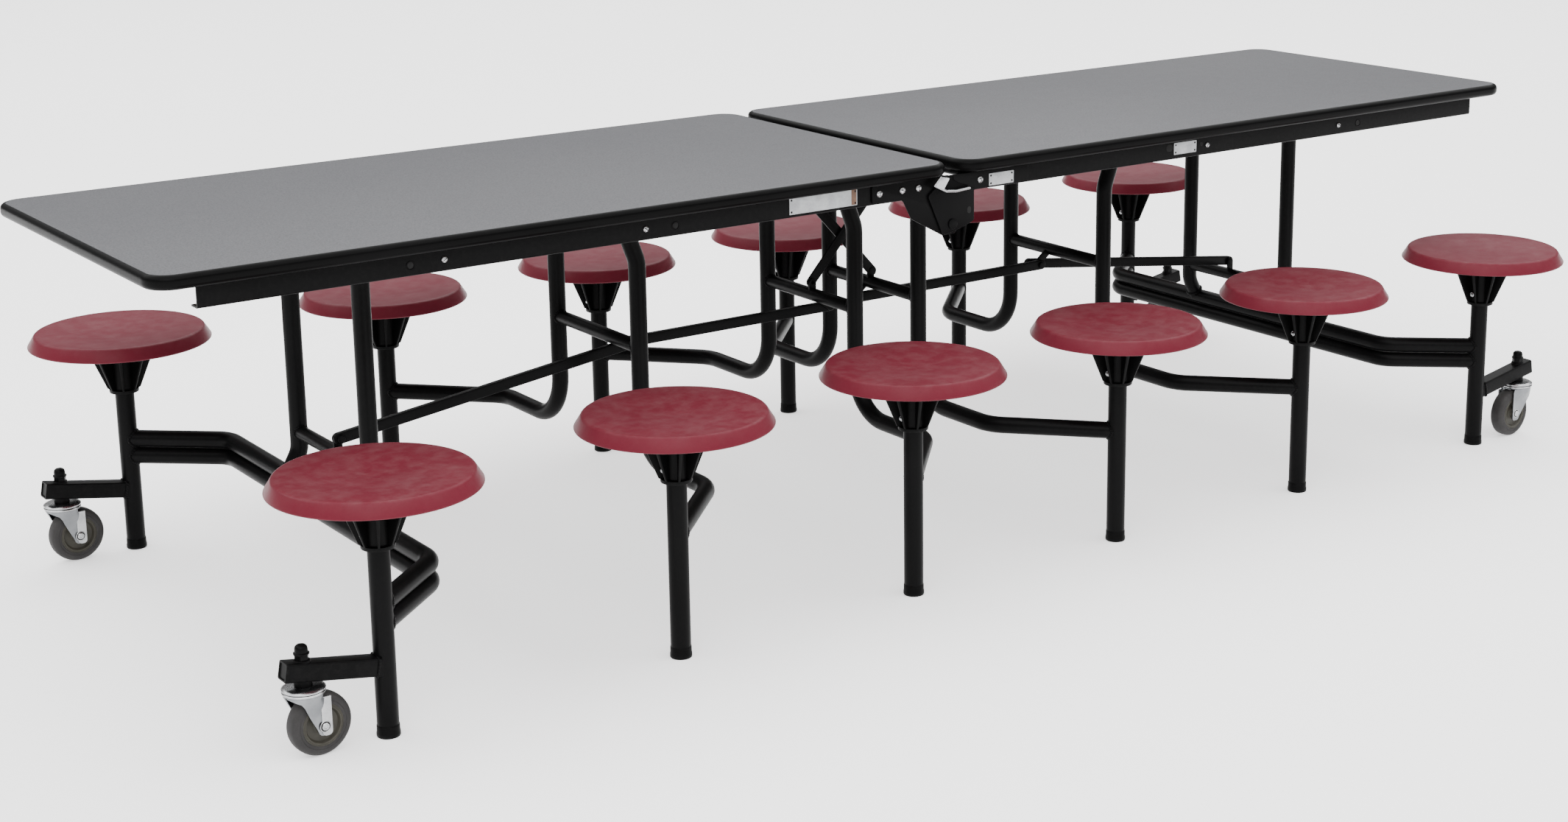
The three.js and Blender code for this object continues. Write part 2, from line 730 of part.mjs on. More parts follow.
function rightHingePlate(ySign) {
  const plateEnd = outerPlateFace + hingePlateThickness;
  const plate = plateFrom(rightPlateOutline(), between(ySign, outerPlateFace, plateEnd));
  const hole = barAlongY(0, hingeHeight, hingePinRadius + sleeveClearance,
    ...between(ySign, railOuterY, plateEnd + cutOverrun));
  const pad = boxBetween(-hingePlateReach, -hingePadInset,
    ...between(ySign, railOuterY - fitGap, outerPlateFace + fitGap),
    plateLow, plateHigh);
  return joined([plate, pad]).subtract(hole);
}

// A bolt head on the outer face of a rail or of a plate on it
function boltHead(x, ySign, face) {
  return barAlongY(x, railMiddle, boltRadius, ...between(ySign, face - fitGap, face + boltHeight), boltSides);
}

function railFittings(side, ySign) {
  const pivotBolts = [endPivotX - pivotBoltOffset, midPivotX + pivotBoltOffset].map(
    (x) => boltHead(-x, ySign, railOuterY));
  const plateFace = side === 'left' ? innerPlateFace : outerPlateFace + hingePlateThickness;
  const boltXs = side === 'left' ? hingeBoltXs : hingeBoltXs.slice(0, 2);
  const plateBolts = boltXs.map((x) => boltHead(-x, ySign, plateFace));
  const plate = side === 'left' ? leftHingePlate(ySign) : rightHingePlate(ySign);
  return [plate, ...pivotBolts, ...plateBolts];
}

// A spring latch's finger lever on the near side: a bent rod with a tab at its free end
function addLatch() {
  const face = outerPlateFace + hingePlateThickness + fitGap;
  const rodY = -face - latchRodRadius;
  const rod = bentTube([
    new THREE.Vector3(latchPivotX, -face, latchHeight),
    new THREE.Vector3(latchPivotX, rodY - latchRodRadius, latchHeight),
    new THREE.Vector3(-latchTabWidth, rodY - latchRodRadius, latchHeight),
  ], [latchRodBend], latchRodRadius);
  const tab = boxBetween(-latchTabWidth - latchTabLength, -latchTabWidth + latchRodRadius,
    rodY - latchRodRadius - latchThickness / 2, rodY - latchRodRadius + latchThickness / 2,
    latchHeight - latchRodRadius, latchHeight + latchTabRise);
  addPiece(table, 'latch_lever', zinc, [joined([rod, tab])]);
}

// Casters: a zinc fork that swivels under each arm, and a wheel with a grey tyre

function casterFork() {
  const outerY = wheelWidth / 2 + forkGap + forkThickness;
  const crownBottom = racewayTop - racewayDepth;
  const raceway = uprightBar(0, 0, racewayRadius, crownBottom, racewayTop, wheelSegments);
  const sides = [-1, 1].map((ySign) => plateAlongY([
    [-forkTopWidth / 2, crownBottom + fitGap], [wheelTrail - forkFootWidth / 2, wheelRadius],
    [wheelTrail - forkFootWidth / 2, wheelRadius - forkFootWidth / 2],
    [wheelTrail + forkFootWidth / 2, wheelRadius - forkFootWidth / 2],
    [wheelTrail + forkFootWidth / 2, wheelRadius], [forkTopWidth / 2, crownBottom + fitGap],
  ].map(([x, z]) => new THREE.Vector2(x, z)), ...between(ySign, outerY - forkThickness, outerY)));
  const crown = boxBetween(-forkTopWidth / 2, forkTopWidth / 2, -outerY, outerY,
    crownBottom - fitGap, crownBottom + forkThickness);
  const axleEnd = outerY + forkThickness;
  const axle = barAlongY(wheelTrail, wheelRadius, axleRadius, -axleEnd, axleEnd);
  const heads = [-1, 1].map((ySign) => barAlongY(wheelTrail, wheelRadius, axleHead,
    ...between(ySign, outerY - fitGap, axleEnd)));
  return joined([raceway, crown, ...sides, axle, ...heads]);
}

// A wheel part turned about the axle, from [radius, across] points
function wheelPart(points) {
  const geometry = turned(points, wheelSegments);
  geometry.rotateX(Math.PI / 2);
  geometry.translate(wheelTrail, 0, wheelRadius);
  return solidOf(geometry);
}

function tyre() {
  const half = wheelWidth / 2;
  const inner = wheelCoreRadius + fitGap;
  const shoulder = wheelRadius - wheelShoulder;
  return wheelPart([
    [inner, -half], [shoulder, -half], [wheelRadius, -half + wheelShoulder],
    [wheelRadius, half - wheelShoulder], [shoulder, half], [inner, half], [inner, -half],
  ]);
}

function wheelCore() {
  const half = wheelWidth / 2;
  const bore = axleRadius + axleClearance;
  const web = half - wheelCoreDish;
  return wheelPart([
    [bore, -half], [wheelHubRadius, -half], [wheelHubRadius + wheelCoreDish, -web],
    [wheelCoreRadius - wheelCoreDish, -web], [wheelCoreRadius, -half], [wheelCoreRadius, half],
    [wheelCoreRadius - wheelCoreDish, web], [wheelHubRadius + wheelCoreDish, web],
    [wheelHubRadius, half], [bore, half], [bore, -half],
  ]);
}

function addCasters(parent, side) {
  for (const ySign of [-1, 1]) {
    const name = `${side}_${rowName(side, ySign)}`;
    const stand = new THREE.Group();
    stand.position.set(-endStoolX - casterReach, ySign * stoolRows, 0);
    stand.rotation.z = casterTurn;
    parent.add(stand);
    addPiece(stand, `${name}_fork`, zinc, [casterFork()]);
    addPiece(stand, `${name}_tyre`, tyreGrey, [tyre()]);
    addPiece(stand, `${name}_wheel_core`, coreGrey, [wheelCore()]);
  }
}

for (const [side, parent] of [['left', table], ['right', rightHalf]]) {
  addTopHalf(parent, side);
  addRails(parent, side);
  frameKinds.forEach((frame) => addFrame(parent, side, frame));
  addLinks(parent, side);
  addCasters(parent, side);
}
addLatch();

export default table;
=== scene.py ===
import bpy
import numpy as np
from math import atan2, cos, pi, radians, sin, tan
from mathutils import Matrix, Vector


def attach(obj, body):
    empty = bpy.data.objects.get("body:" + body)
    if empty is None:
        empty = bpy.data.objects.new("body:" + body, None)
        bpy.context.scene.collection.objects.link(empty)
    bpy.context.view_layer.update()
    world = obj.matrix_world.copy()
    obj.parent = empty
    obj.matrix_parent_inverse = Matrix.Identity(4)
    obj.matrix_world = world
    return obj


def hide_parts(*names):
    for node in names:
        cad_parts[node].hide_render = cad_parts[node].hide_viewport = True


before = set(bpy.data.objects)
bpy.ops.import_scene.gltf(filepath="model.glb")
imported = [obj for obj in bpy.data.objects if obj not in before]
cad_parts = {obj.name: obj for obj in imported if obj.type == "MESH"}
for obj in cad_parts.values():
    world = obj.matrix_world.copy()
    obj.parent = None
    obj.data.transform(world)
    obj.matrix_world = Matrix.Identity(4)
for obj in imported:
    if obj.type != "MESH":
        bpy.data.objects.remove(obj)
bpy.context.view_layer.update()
print("frame loaded:", len(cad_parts), "CAD nodes")

metresPerMm = 0.001
tiny = 1e-9
straight = 1e-3  # a corner that turns less than this, in radians, isn't rounded
quarter = pi / 2
sharpAngle = radians(34)
white = (1, 1, 1, 1)

# The camera that took the photograph, with the small lens shift of its framing
photoCamera = {"place": (-2.760, -3.873, 1.558), "yaw": 36.01, "pitch": 13.313, "roll": -0.485,
               "lens": 56.04, "shift": (-0.051, -0.08), "clip": (0.05, 100)}


def addCamera():
    data = bpy.data.cameras.new("photo_camera")
    data.sensor_fit = "HORIZONTAL"
    data.lens = photoCamera["lens"]
    data.shift_x, data.shift_y = photoCamera["shift"]
    data.clip_start, data.clip_end = photoCamera["clip"]
    camera = bpy.data.objects.new("photo_camera", data)
    heading = Matrix.Rotation(-radians(photoCamera["yaw"]), 4, "Z")
    tilt = Matrix.Rotation(quarter - radians(photoCamera["pitch"]), 4, "X")
    roll = Matrix.Rotation(radians(photoCamera["roll"]), 4, "Z")
    camera.matrix_world = Matrix.Translation(photoCamera["place"]) @ heading @ tilt @ roll
    bpy.context.collection.objects.link(camera)
    bpy.context.scene.camera = camera


addCamera()
print("camera placed")


# Evenly spaced points of a circular arc: the centre plus the radius times cosine and sine
def arc(x, y, radius, fromAngle, toAngle, steps):
    angles = np.linspace(fromAngle, toAngle, steps + 1)
    return np.stack([x + radius * np.cos(angles), y + radius * np.sin(angles)], axis=1)


# A closed polygon with rounded corners: each corner becomes the arc that touches both of its sides
def roundedOutline(corners, radii, steps=6):
    corners = np.asarray(corners, float)
    radii = np.broadcast_to(radii, len(corners))
    parts = []
    for i, corner in enumerate(corners):
        into = corner - corners[i - 1]
        out = corners[(i + 1) % len(corners)] - corner
        into, out = into / np.linalg.norm(into), out / np.linalg.norm(out)
        turn = atan2(into[0] * out[1] - into[1] * out[0], into @ out)
        if radii[i] < tiny or abs(turn) < straight:
            parts.append(corner[None])
            continue
        inward = np.array([-into[1], into[0]]) * np.sign(turn)
        angles = np.linspace(0, abs(turn), steps + 1)[:, None]
        start = corner - into * radii[i] * tan(abs(turn) / 2)
        parts.append(start + radii[i] * (np.sin(angles) * into + (1 - np.cos(angles)) * inward))
    return np.concatenate(parts)


# The same from corners that are written as two places and the radius that rounds them
def rounded(corners, steps=6):
    corners = np.asarray(corners, float)
    return roundedOutline(corners[:, :2], corners[:, 2], steps)


def rectangle(width, height, radius, x=0, y=0, steps=6):
    w, h = width / 2, height / 2
    return roundedOutline([(x - w, y - h), (x + w, y - h), (x + w, y + h), (x - w, y + h)], radius, steps)


def circle(radius, sides, x=0, y=0):
    return arc(x, y, radius, 0, 2 * pi * (sides - 1) / sides, sides - 1)


def unit(vectors):
    return vectors / (np.linalg.norm(vectors, axis=-1, keepdims=True) + tiny)


# Outward unit directions at an outline's points, halfway between the normals of its two sides and
# lengthened at corners, where one over their cosine is at most one over the mitre
def outwardOf(outline, mitre=0.4):
    outline = np.asarray(outline, float)
    nextPoint = np.roll(outline, -1, axis=0)
    into, out = unit(outline - np.roll(outline, 1, axis=0)), unit(nextPoint - outline)
    area = np.sum(outline[:, 0] * nextPoint[:, 1] - outline[:, 1] * nextPoint[:, 0])
    normals = unit(np.stack([into[:, 1] + out[:, 1], -into[:, 0] - out[:, 0]], axis=1) * np.sign(area))
    across = np.stack([out[:, 1], -out[:, 0]], axis=1) * np.sign(area)
    return normals / np.clip(np.sum(normals * across, axis=1), mitre, 1)[:, None]


# A flat plate with softened edges: its outline at rising depths, drawn in by one minus the sine near both faces
def plate(outline, low, high, softness=0.6, axis="y", steps=3):
    softness = min(softness, (high - low) / 2.01)
    angles = np.linspace(0, quarter, steps + 1)
    inset = softness * (1 - np.sin(angles))
    depth = softness * (1 - np.cos(angles))
    insets = np.concatenate([inset, inset[::-1]])
    depths = np.concatenate([low + depth, high - depth[::-1]])
    flat = outline[None] - insets[:, None, None] * outwardOf(outline)[None]
    depths = np.broadcast_to(depths[:, None], flat.shape[:2])
    order = {"y": (flat[..., 0], depths, flat[..., 1]), "z": (flat[..., 0], flat[..., 1], depths)}[axis]
    return np.stack(order, axis=-1), False


# A turned shape: each radius and height of the profile swept round an upright axis by cosine and sine
def turned(profile, x=0, y=0, sides=48, closed=False):
    profile = np.asarray(profile, float)
    angles = 2 * pi * np.arange(sides) / sides
    radius, height = profile[:, :1], profile[:, 1:]
    grid = np.stack([x + radius * np.cos(angles), y + radius * np.sin(angles), height + 0 * angles], axis=-1)
    return grid, closed


# The same surface with its upright axis laid along Y, through the point (x, z)
def turnedAlongY(profile, x, z, sides=32, closed=False):
    grid, _ = turned(profile, 0, 0, sides)
    return np.stack([x + grid[..., 0], grid[..., 2], z + grid[..., 1]], axis=-1), closed


def lifted(profile, height):
    return np.asarray(profile, float) + [0, height]


# A rod's profile: its radius from end to end, with a quarter circle at both
def barProfile(radius, low, high, softness, steps=3):
    foot = arc(radius - softness, low + softness, softness, -quarter, 0, steps)
    head = arc(radius - softness, high - softness, softness, 0, quarter, steps)
    return np.concatenate([foot, head])


def rodAlongY(x, z, radius, low, high, softness=0.8, sides=24):
    return turnedAlongY(barProfile(radius, low, high, softness), x, z, sides)


def uprightRod(x, y, radius, low, high, softness=0.8, sides=40):
    return turned(barProfile(radius, low, high, softness), x, y, sides)


# A centre line of straight runs and round bends: on a bend, the start plus the radius times
# sine along the run and one minus cosine towards the inside
def bentLine(corners, radii, stepDegrees=7.5):
    corners = [np.asarray(corner, float) for corner in corners]
    points = [corners[0][None]]
    for before, corner, after, radius in zip(corners, corners[1:], corners[2:], radii):
        into = (corner - before) / np.linalg.norm(corner - before)
        out = (after - corner) / np.linalg.norm(after - corner)
        turn = np.arccos(np.clip(into @ out, -1, 1))
        inward = out - into * (into @ out)
        inward /= np.linalg.norm(inward)
        angles = np.linspace(0, turn, max(3, int(np.degrees(turn) / stepDegrees)) + 1)[:, None]
        start = corner - into * radius * tan(turn / 2)
        points.append(start + radius * (np.sin(angles) * into + (1 - np.cos(angles)) * inward))
    points.append(corners[-1][None])
    return np.concatenate(points)


# A section carried along a line: every station plus the section's two distances along its side and up
# directions, where the side direction turns as little as possible from one station to the next
def carried(line, section, ends=None, steep=0.8):
    runs = unit(np.diff(line, axis=0))
    headings = unit(np.concatenate([runs[:1], runs[:-1] + runs[1:], runs[-1:]]))
    guess = np.array([0, 0, 1.0]) if abs(headings[0][2]) < steep else np.array([0, 1.0, 0])
    sides = []
    for heading in headings:
        guess = guess - heading * (guess @ heading)
        guess = guess / np.linalg.norm(guess)
        sides.append(guess)
    sides = np.array(sides)
    ups = np.cross(headings, sides)
    grid = line[:, None] + section[None, :, :1] * sides[:, None] + section[None, :, 1:] * ups[:, None]
    if ends:
        first, last = (softEnd(grid, line, headings, ends, which) for which in (0, -1))
        grid = np.concatenate([first, grid, last])
    return grid, False


# The last rings of a rod: the end ring shrunk towards its centre as it runs on by a sine of the rounding
def softEnd(grid, line, headings, rounding, which, steps=3):
    rising = np.linspace(0, quarter, steps + 1)[1:]
    angles, sign = (rising[::-1], -1) if which == 0 else (rising, 1)
    reach = np.linalg.norm(grid[which, 0] - line[which])
    shrink = 1 - rounding / reach * (1 - np.cos(angles))
    ahead = sign * rounding * np.sin(angles)
    around = grid[which][None] - line[which]
    return line[which] + around * shrink[:, None, None] + headings[which] * ahead[:, None, None]


def tube(corners, radii, radius, sides=28, ends=None):
    return carried(bentLine(corners, radii), circle(radius, sides), ends)


# Welds: how far the ripples swell, how many there are, and the points round a bead and along it
weld = {"swell": 0.14, "ripples": 26, "squareRipples": 24, "sides": 8, "stations": 96, "jointStations": 104,
        "askew": (0.3, 0.5, 0.81)}


# A bead round a closed ring: a small circle between its outward and sideways directions, thickened and
# thinned by a sine of the place along the ring
def bead(ring, outward, sideways, size, phase):
    thickness = size * (1 + weld["swell"] * np.sin(phase))[:, None, None]
    turns = 2 * pi * np.arange(weld["sides"]) / weld["sides"]
    sideways = np.broadcast_to(sideways, ring.shape)
    spin = np.cos(turns)[None, :, None] * outward[:, None] + np.sin(turns)[None, :, None] * sideways[:, None]
    return ring[:, None] + thickness * spin, True


# A bead where a tube meets a round post: round the tube by cosine and sine, and out along the tube by the
# root of the post's radius squared less the distance across squared
def weldBead(centre, postRadius, tubeRadius, heading, size=2.6):
    heading = unit(np.asarray(heading, float))
    side = unit(np.cross((0, 0, 1), heading))
    up = np.cross(heading, side)
    angles = 2 * pi * np.arange(weld["jointStations"]) / weld["jointStations"]
    across = tubeRadius * np.cos(angles)
    reach = np.sqrt(np.maximum(postRadius ** 2 - across ** 2, 0))
    ring = (np.asarray(centre, float) + reach[:, None] * heading + across[:, None] * side
            + (tubeRadius * np.sin(angles))[:, None] * up)
    along = unit(np.roll(ring, -1, axis=0) - np.roll(ring, 1, axis=0))
    outward = unit(np.cross(along, heading))
    return bead(ring, outward, np.cross(along, outward), size, weld["ripples"] * angles)


# A bead as a flat ring round a rod's foot: the centre plus the radius times cosine and sine
def ringBead(centre, axis, radius, size=2.2):
    axis = unit(np.asarray(axis, float))
    side = unit(np.cross(axis, weld["askew"]))
    up = np.cross(axis, side)
    angles = 2 * pi * np.arange(weld["stations"]) / weld["stations"]
    outward = np.cos(angles)[:, None] * side + np.sin(angles)[:, None] * up
    return bead(np.asarray(centre, float) + radius * outward, outward, axis, size, weld["ripples"] * angles)


# Six times the volume inside a grid's quads and end caps, from triple products; its sign tells which way it faces
def volumeOf(points, quads, caps):
    triangles = [quads[:, (0, 1, 2)], quads[:, (0, 2, 3)]]
    for cap in caps:
        triangles.append(np.stack([np.full(len(cap) - 2, cap[0]), cap[1:-1], cap[2:]], axis=1))
    a, b, c = (points[np.concatenate(triangles)[:, k]] for k in range(3))
    return np.sum(a * np.cross(b, c))


def meshOf(name, grids):
    points, faces, count = [], [], 0
    for grid, closed in grids:
        rows, columns = grid.shape[:2]
        flat = grid.reshape(-1, 3)
        row = np.arange(rows if closed else rows - 1)[:, None]
        column = np.arange(columns)[None]
        after, below = (column + 1) % columns, (row + 1) % rows
        quads = np.stack([row * columns + column, row * columns + after,
                          below * columns + after, below * columns + column], axis=-1).reshape(-1, 4)
        caps = [] if closed else [np.arange(columns)[::-1], (rows - 1) * columns + np.arange(columns)]
        if volumeOf(flat - flat.mean(axis=0), quads, caps) < 0:
            quads = quads[:, ::-1]
            caps = [cap[::-1] for cap in caps]
        points.append(flat)
        faces += (quads + count).tolist() + [(cap + count).tolist() for cap in caps]
        count += len(flat)
    mesh = bpy.data.meshes.new(name)
    mesh.from_pydata((np.concatenate(points) * metresPerMm).tolist(), [], faces)
    mesh.validate()
    mesh.shade_smooth()
    mesh.set_sharp_from_angle(angle=sharpAngle)
    return mesh


# A grid's mirror image in the table's long centre plane, and a list of grids on both sides of it
def flipped(piece, ySign):
    grid, closed = piece
    return grid * np.array([1, ySign, 1]), closed


def bothSides(pieces):
    return [flipped(piece, ySign) for ySign in (-1, 1) for piece in pieces]


# A grid turned about the upright axis by cosine and sine, and then moved to its place
def stood(piece, angle, place):
    grid, closed = piece
    turn = np.array([[cos(angle), sin(angle), 0], [-sin(angle), cos(angle), 0], [0, 0, 1]])
    return grid @ turn + place, closed


# Pieces of the right half are the left ones turned half a turn about the upright axis through the hinge
halfTurns = {"left": np.array([1, 1, 1]), "right": np.array([-1, -1, 1])}


def addPiece(name, body, finish, grids, stands=None, side="left"):
    mesh = meshOf(name, [(grid * halfTurns[side], closed) for grid, closed in grids])
    piece = bpy.data.objects.new(name, mesh)
    bpy.context.collection.objects.link(piece)
    mesh.materials.append(materials[finish])
    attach(piece, body)
    if stands:
        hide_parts(stands)


# Shader node groups: a socket takes either another node's output or a plain value
def feed(tree, socket, value):
    if isinstance(value, bpy.types.NodeSocket):
        tree.links.new(value, socket)
    else:
        socket.default_value = value


def addNode(tree, kind, inputs, **settings):
    node = tree.nodes.new(kind)
    for key, value in settings.items():
        setattr(node, key, value)
    for socket, value in inputs.items():
        feed(tree, node.inputs[socket], value)
    return node


def newGroup(name, inputs, outputs):
    tree = bpy.data.node_groups.new(name, "ShaderNodeTree")
    for label, value in inputs.items():
        kind = "NodeSocketColor" if isinstance(value, tuple) else "NodeSocketFloat"
        tree.interface.new_socket(label, in_out="INPUT", socket_type=kind).default_value = value
    for label in outputs:
        kind = "NodeSocketColor" if label == "Color" else "NodeSocketFloat"
        tree.interface.new_socket(label, in_out="OUTPUT", socket_type=kind)
    return tree, tree.nodes.new("NodeGroupInput").outputs, tree.nodes.new("NodeGroupOutput").inputs


def calc(tree, operation, a, b, clamp=False):
    return addNode(tree, "ShaderNodeMath", {0: a, 1: b}, operation=operation, use_clamp=clamp).outputs[0]


def times(tree, a, b, clamp=False):
    return calc(tree, "MULTIPLY", a, b, clamp)


def plus(tree, a, b, clamp=False):
    return calc(tree, "ADD", a, b, clamp)


def mixed(tree, share, a, b):
    return addNode(tree, "ShaderNodeMix", {"Factor": share, 6: a, 7: b}, data_type="RGBA").outputs[2]


# Where a value lies between two ends, from 0 to 1
def shareOf(tree, value, ends):
    return addNode(tree, "ShaderNodeMapRange", {"Value": value, "From Min": ends[0], "From Max": ends[1]}).outputs[0]


def noise(tree, scale, detail=2.0, roughness=0.5):
    where = addNode(tree, "ShaderNodeTexCoord", {}).outputs["Object"]
    return addNode(tree, "ShaderNodeTexNoise", {"Vector": where, "Scale": scale, "Detail": detail,
                                                "Roughness": roughness}).outputs[0]


def geometry(tree, output):
    return addNode(tree, "ShaderNodeNewGeometry", {}).outputs[output]


grey = (0.5, 0.5, 0.5, 1)
pattern = {"patchEnds": (0.35, 0.65), "mottleScale": 300, "dustColor": (0.5, 0.48, 0.45, 1), "upwardEnds": (0.3, 1.0),
           "dustNoise": (38, 6, 0.65), "dustEnds": (0.4, 0.75), "dustRoughness": 0.3, "unevenNoise": (21, 5, 0.6),
           "waveShare": 0.11, "waveHeight": 1.6, "convexEnds": (0.52, 0.6), "rubNoise": (120, 6, 0.7),
           "rubEnds": (0.45, 0.7), "rubRoughness": 0.15, "speckScale": 700, "speckStrength": 0.6,
           "coarseShare": 0.37, "lightEnds": (0.52, 0.64), "darkEnds": (0.5, 0.36), "bumpDepth": 0.0006}


# Colour that drifts in soft patches, fine mottling, dust on what faces up, and grain for the bump
def surfaceGroup():
    tree, given, result = newGroup("surfaceFinish", {
        "Color": grey, "Patch Color": grey, "Patch Scale": 6, "Mottle Scale": pattern["mottleScale"],
        "Mottle": 0.1, "Dust Color": pattern["dustColor"], "Dust": 0.1, "Roughness": 0.4,
        "Roughness Spread": 0.1, "Grain Scale": 900}, ("Color", "Roughness", "Height"))
    patches = shareOf(tree, noise(tree, given["Patch Scale"], 3), pattern["patchEnds"])
    base = mixed(tree, patches, given["Color"], given["Patch Color"])
    centred = plus(tree, noise(tree, given["Mottle Scale"]), -0.5)
    value = plus(tree, times(tree, centred, given["Mottle"]), 1)
    shaded = addNode(tree, "ShaderNodeHueSaturation", {"Color": base, "Value": value}).outputs[0]
    facing = addNode(tree, "ShaderNodeSeparateXYZ", {0: geometry(tree, "Normal")}).outputs[2]
    settled = shareOf(tree, noise(tree, *pattern["dustNoise"]), pattern["dustEnds"])
    upward = shareOf(tree, facing, pattern["upwardEnds"])
    dust = times(tree, times(tree, upward, settled), given["Dust"], True)
    feed(tree, result["Color"], mixed(tree, dust, shaded, given["Dust Color"]))
    uneven = times(tree, plus(tree, noise(tree, *pattern["unevenNoise"]), -0.5), given["Roughness Spread"])
    dulled = times(tree, dust, pattern["dustRoughness"])
    feed(tree, result["Roughness"], plus(tree, plus(tree, given["Roughness"], uneven), dulled, True))
    wave = noise(tree, times(tree, given["Grain Scale"], pattern["waveShare"]), 1)
    grain = noise(tree, given["Grain Scale"], 2.5)
    feed(tree, result["Height"], plus(tree, grain, times(tree, wave, pattern["waveHeight"])))
    return tree


# Rub marks along outer edges: the surface's own convexity broken up by noise
def wearGroup():
    tree, given, result = newGroup("edgeWear", {"Color": grey, "Worn Color": grey, "Wear": 0.3, "Roughness": 0.4},
                                   ("Color", "Roughness"))
    convex = shareOf(tree, geometry(tree, "Pointiness"), pattern["convexEnds"])
    broken = shareOf(tree, noise(tree, *pattern["rubNoise"]), pattern["rubEnds"])
    worn = times(tree, times(tree, convex, broken), given["Wear"], True)
    feed(tree, result["Color"], mixed(tree, worn, given["Color"], given["Worn Color"]))
    rough = plus(tree, given["Roughness"], times(tree, worn, pattern["rubRoughness"]), True)
    feed(tree, result["Roughness"], rough)
    return tree


# Printed laminate: light and dark specks at two sizes over a drifting grey
def speckleGroup():
    tree, given, result = newGroup("laminateSpeckle", {
        "Color": grey, "Light Speck": grey, "Dark Speck": grey, "Speck Scale": pattern["speckScale"],
        "Strength": pattern["speckStrength"]}, ("Color",))
    fine = noise(tree, given["Speck Scale"], 3, 0.7)
    coarse = noise(tree, times(tree, given["Speck Scale"], pattern["coarseShare"]), 2, 0.6)
    light = times(tree, shareOf(tree, fine, pattern["lightEnds"]), given["Strength"], True)
    dark = times(tree, shareOf(tree, coarse, pattern["darkEnds"]), given["Strength"], True)
    lit = mixed(tree, light, given["Color"], given["Light Speck"])
    feed(tree, result["Color"], mixed(tree, dark, lit, given["Dark Speck"]))
    return tree


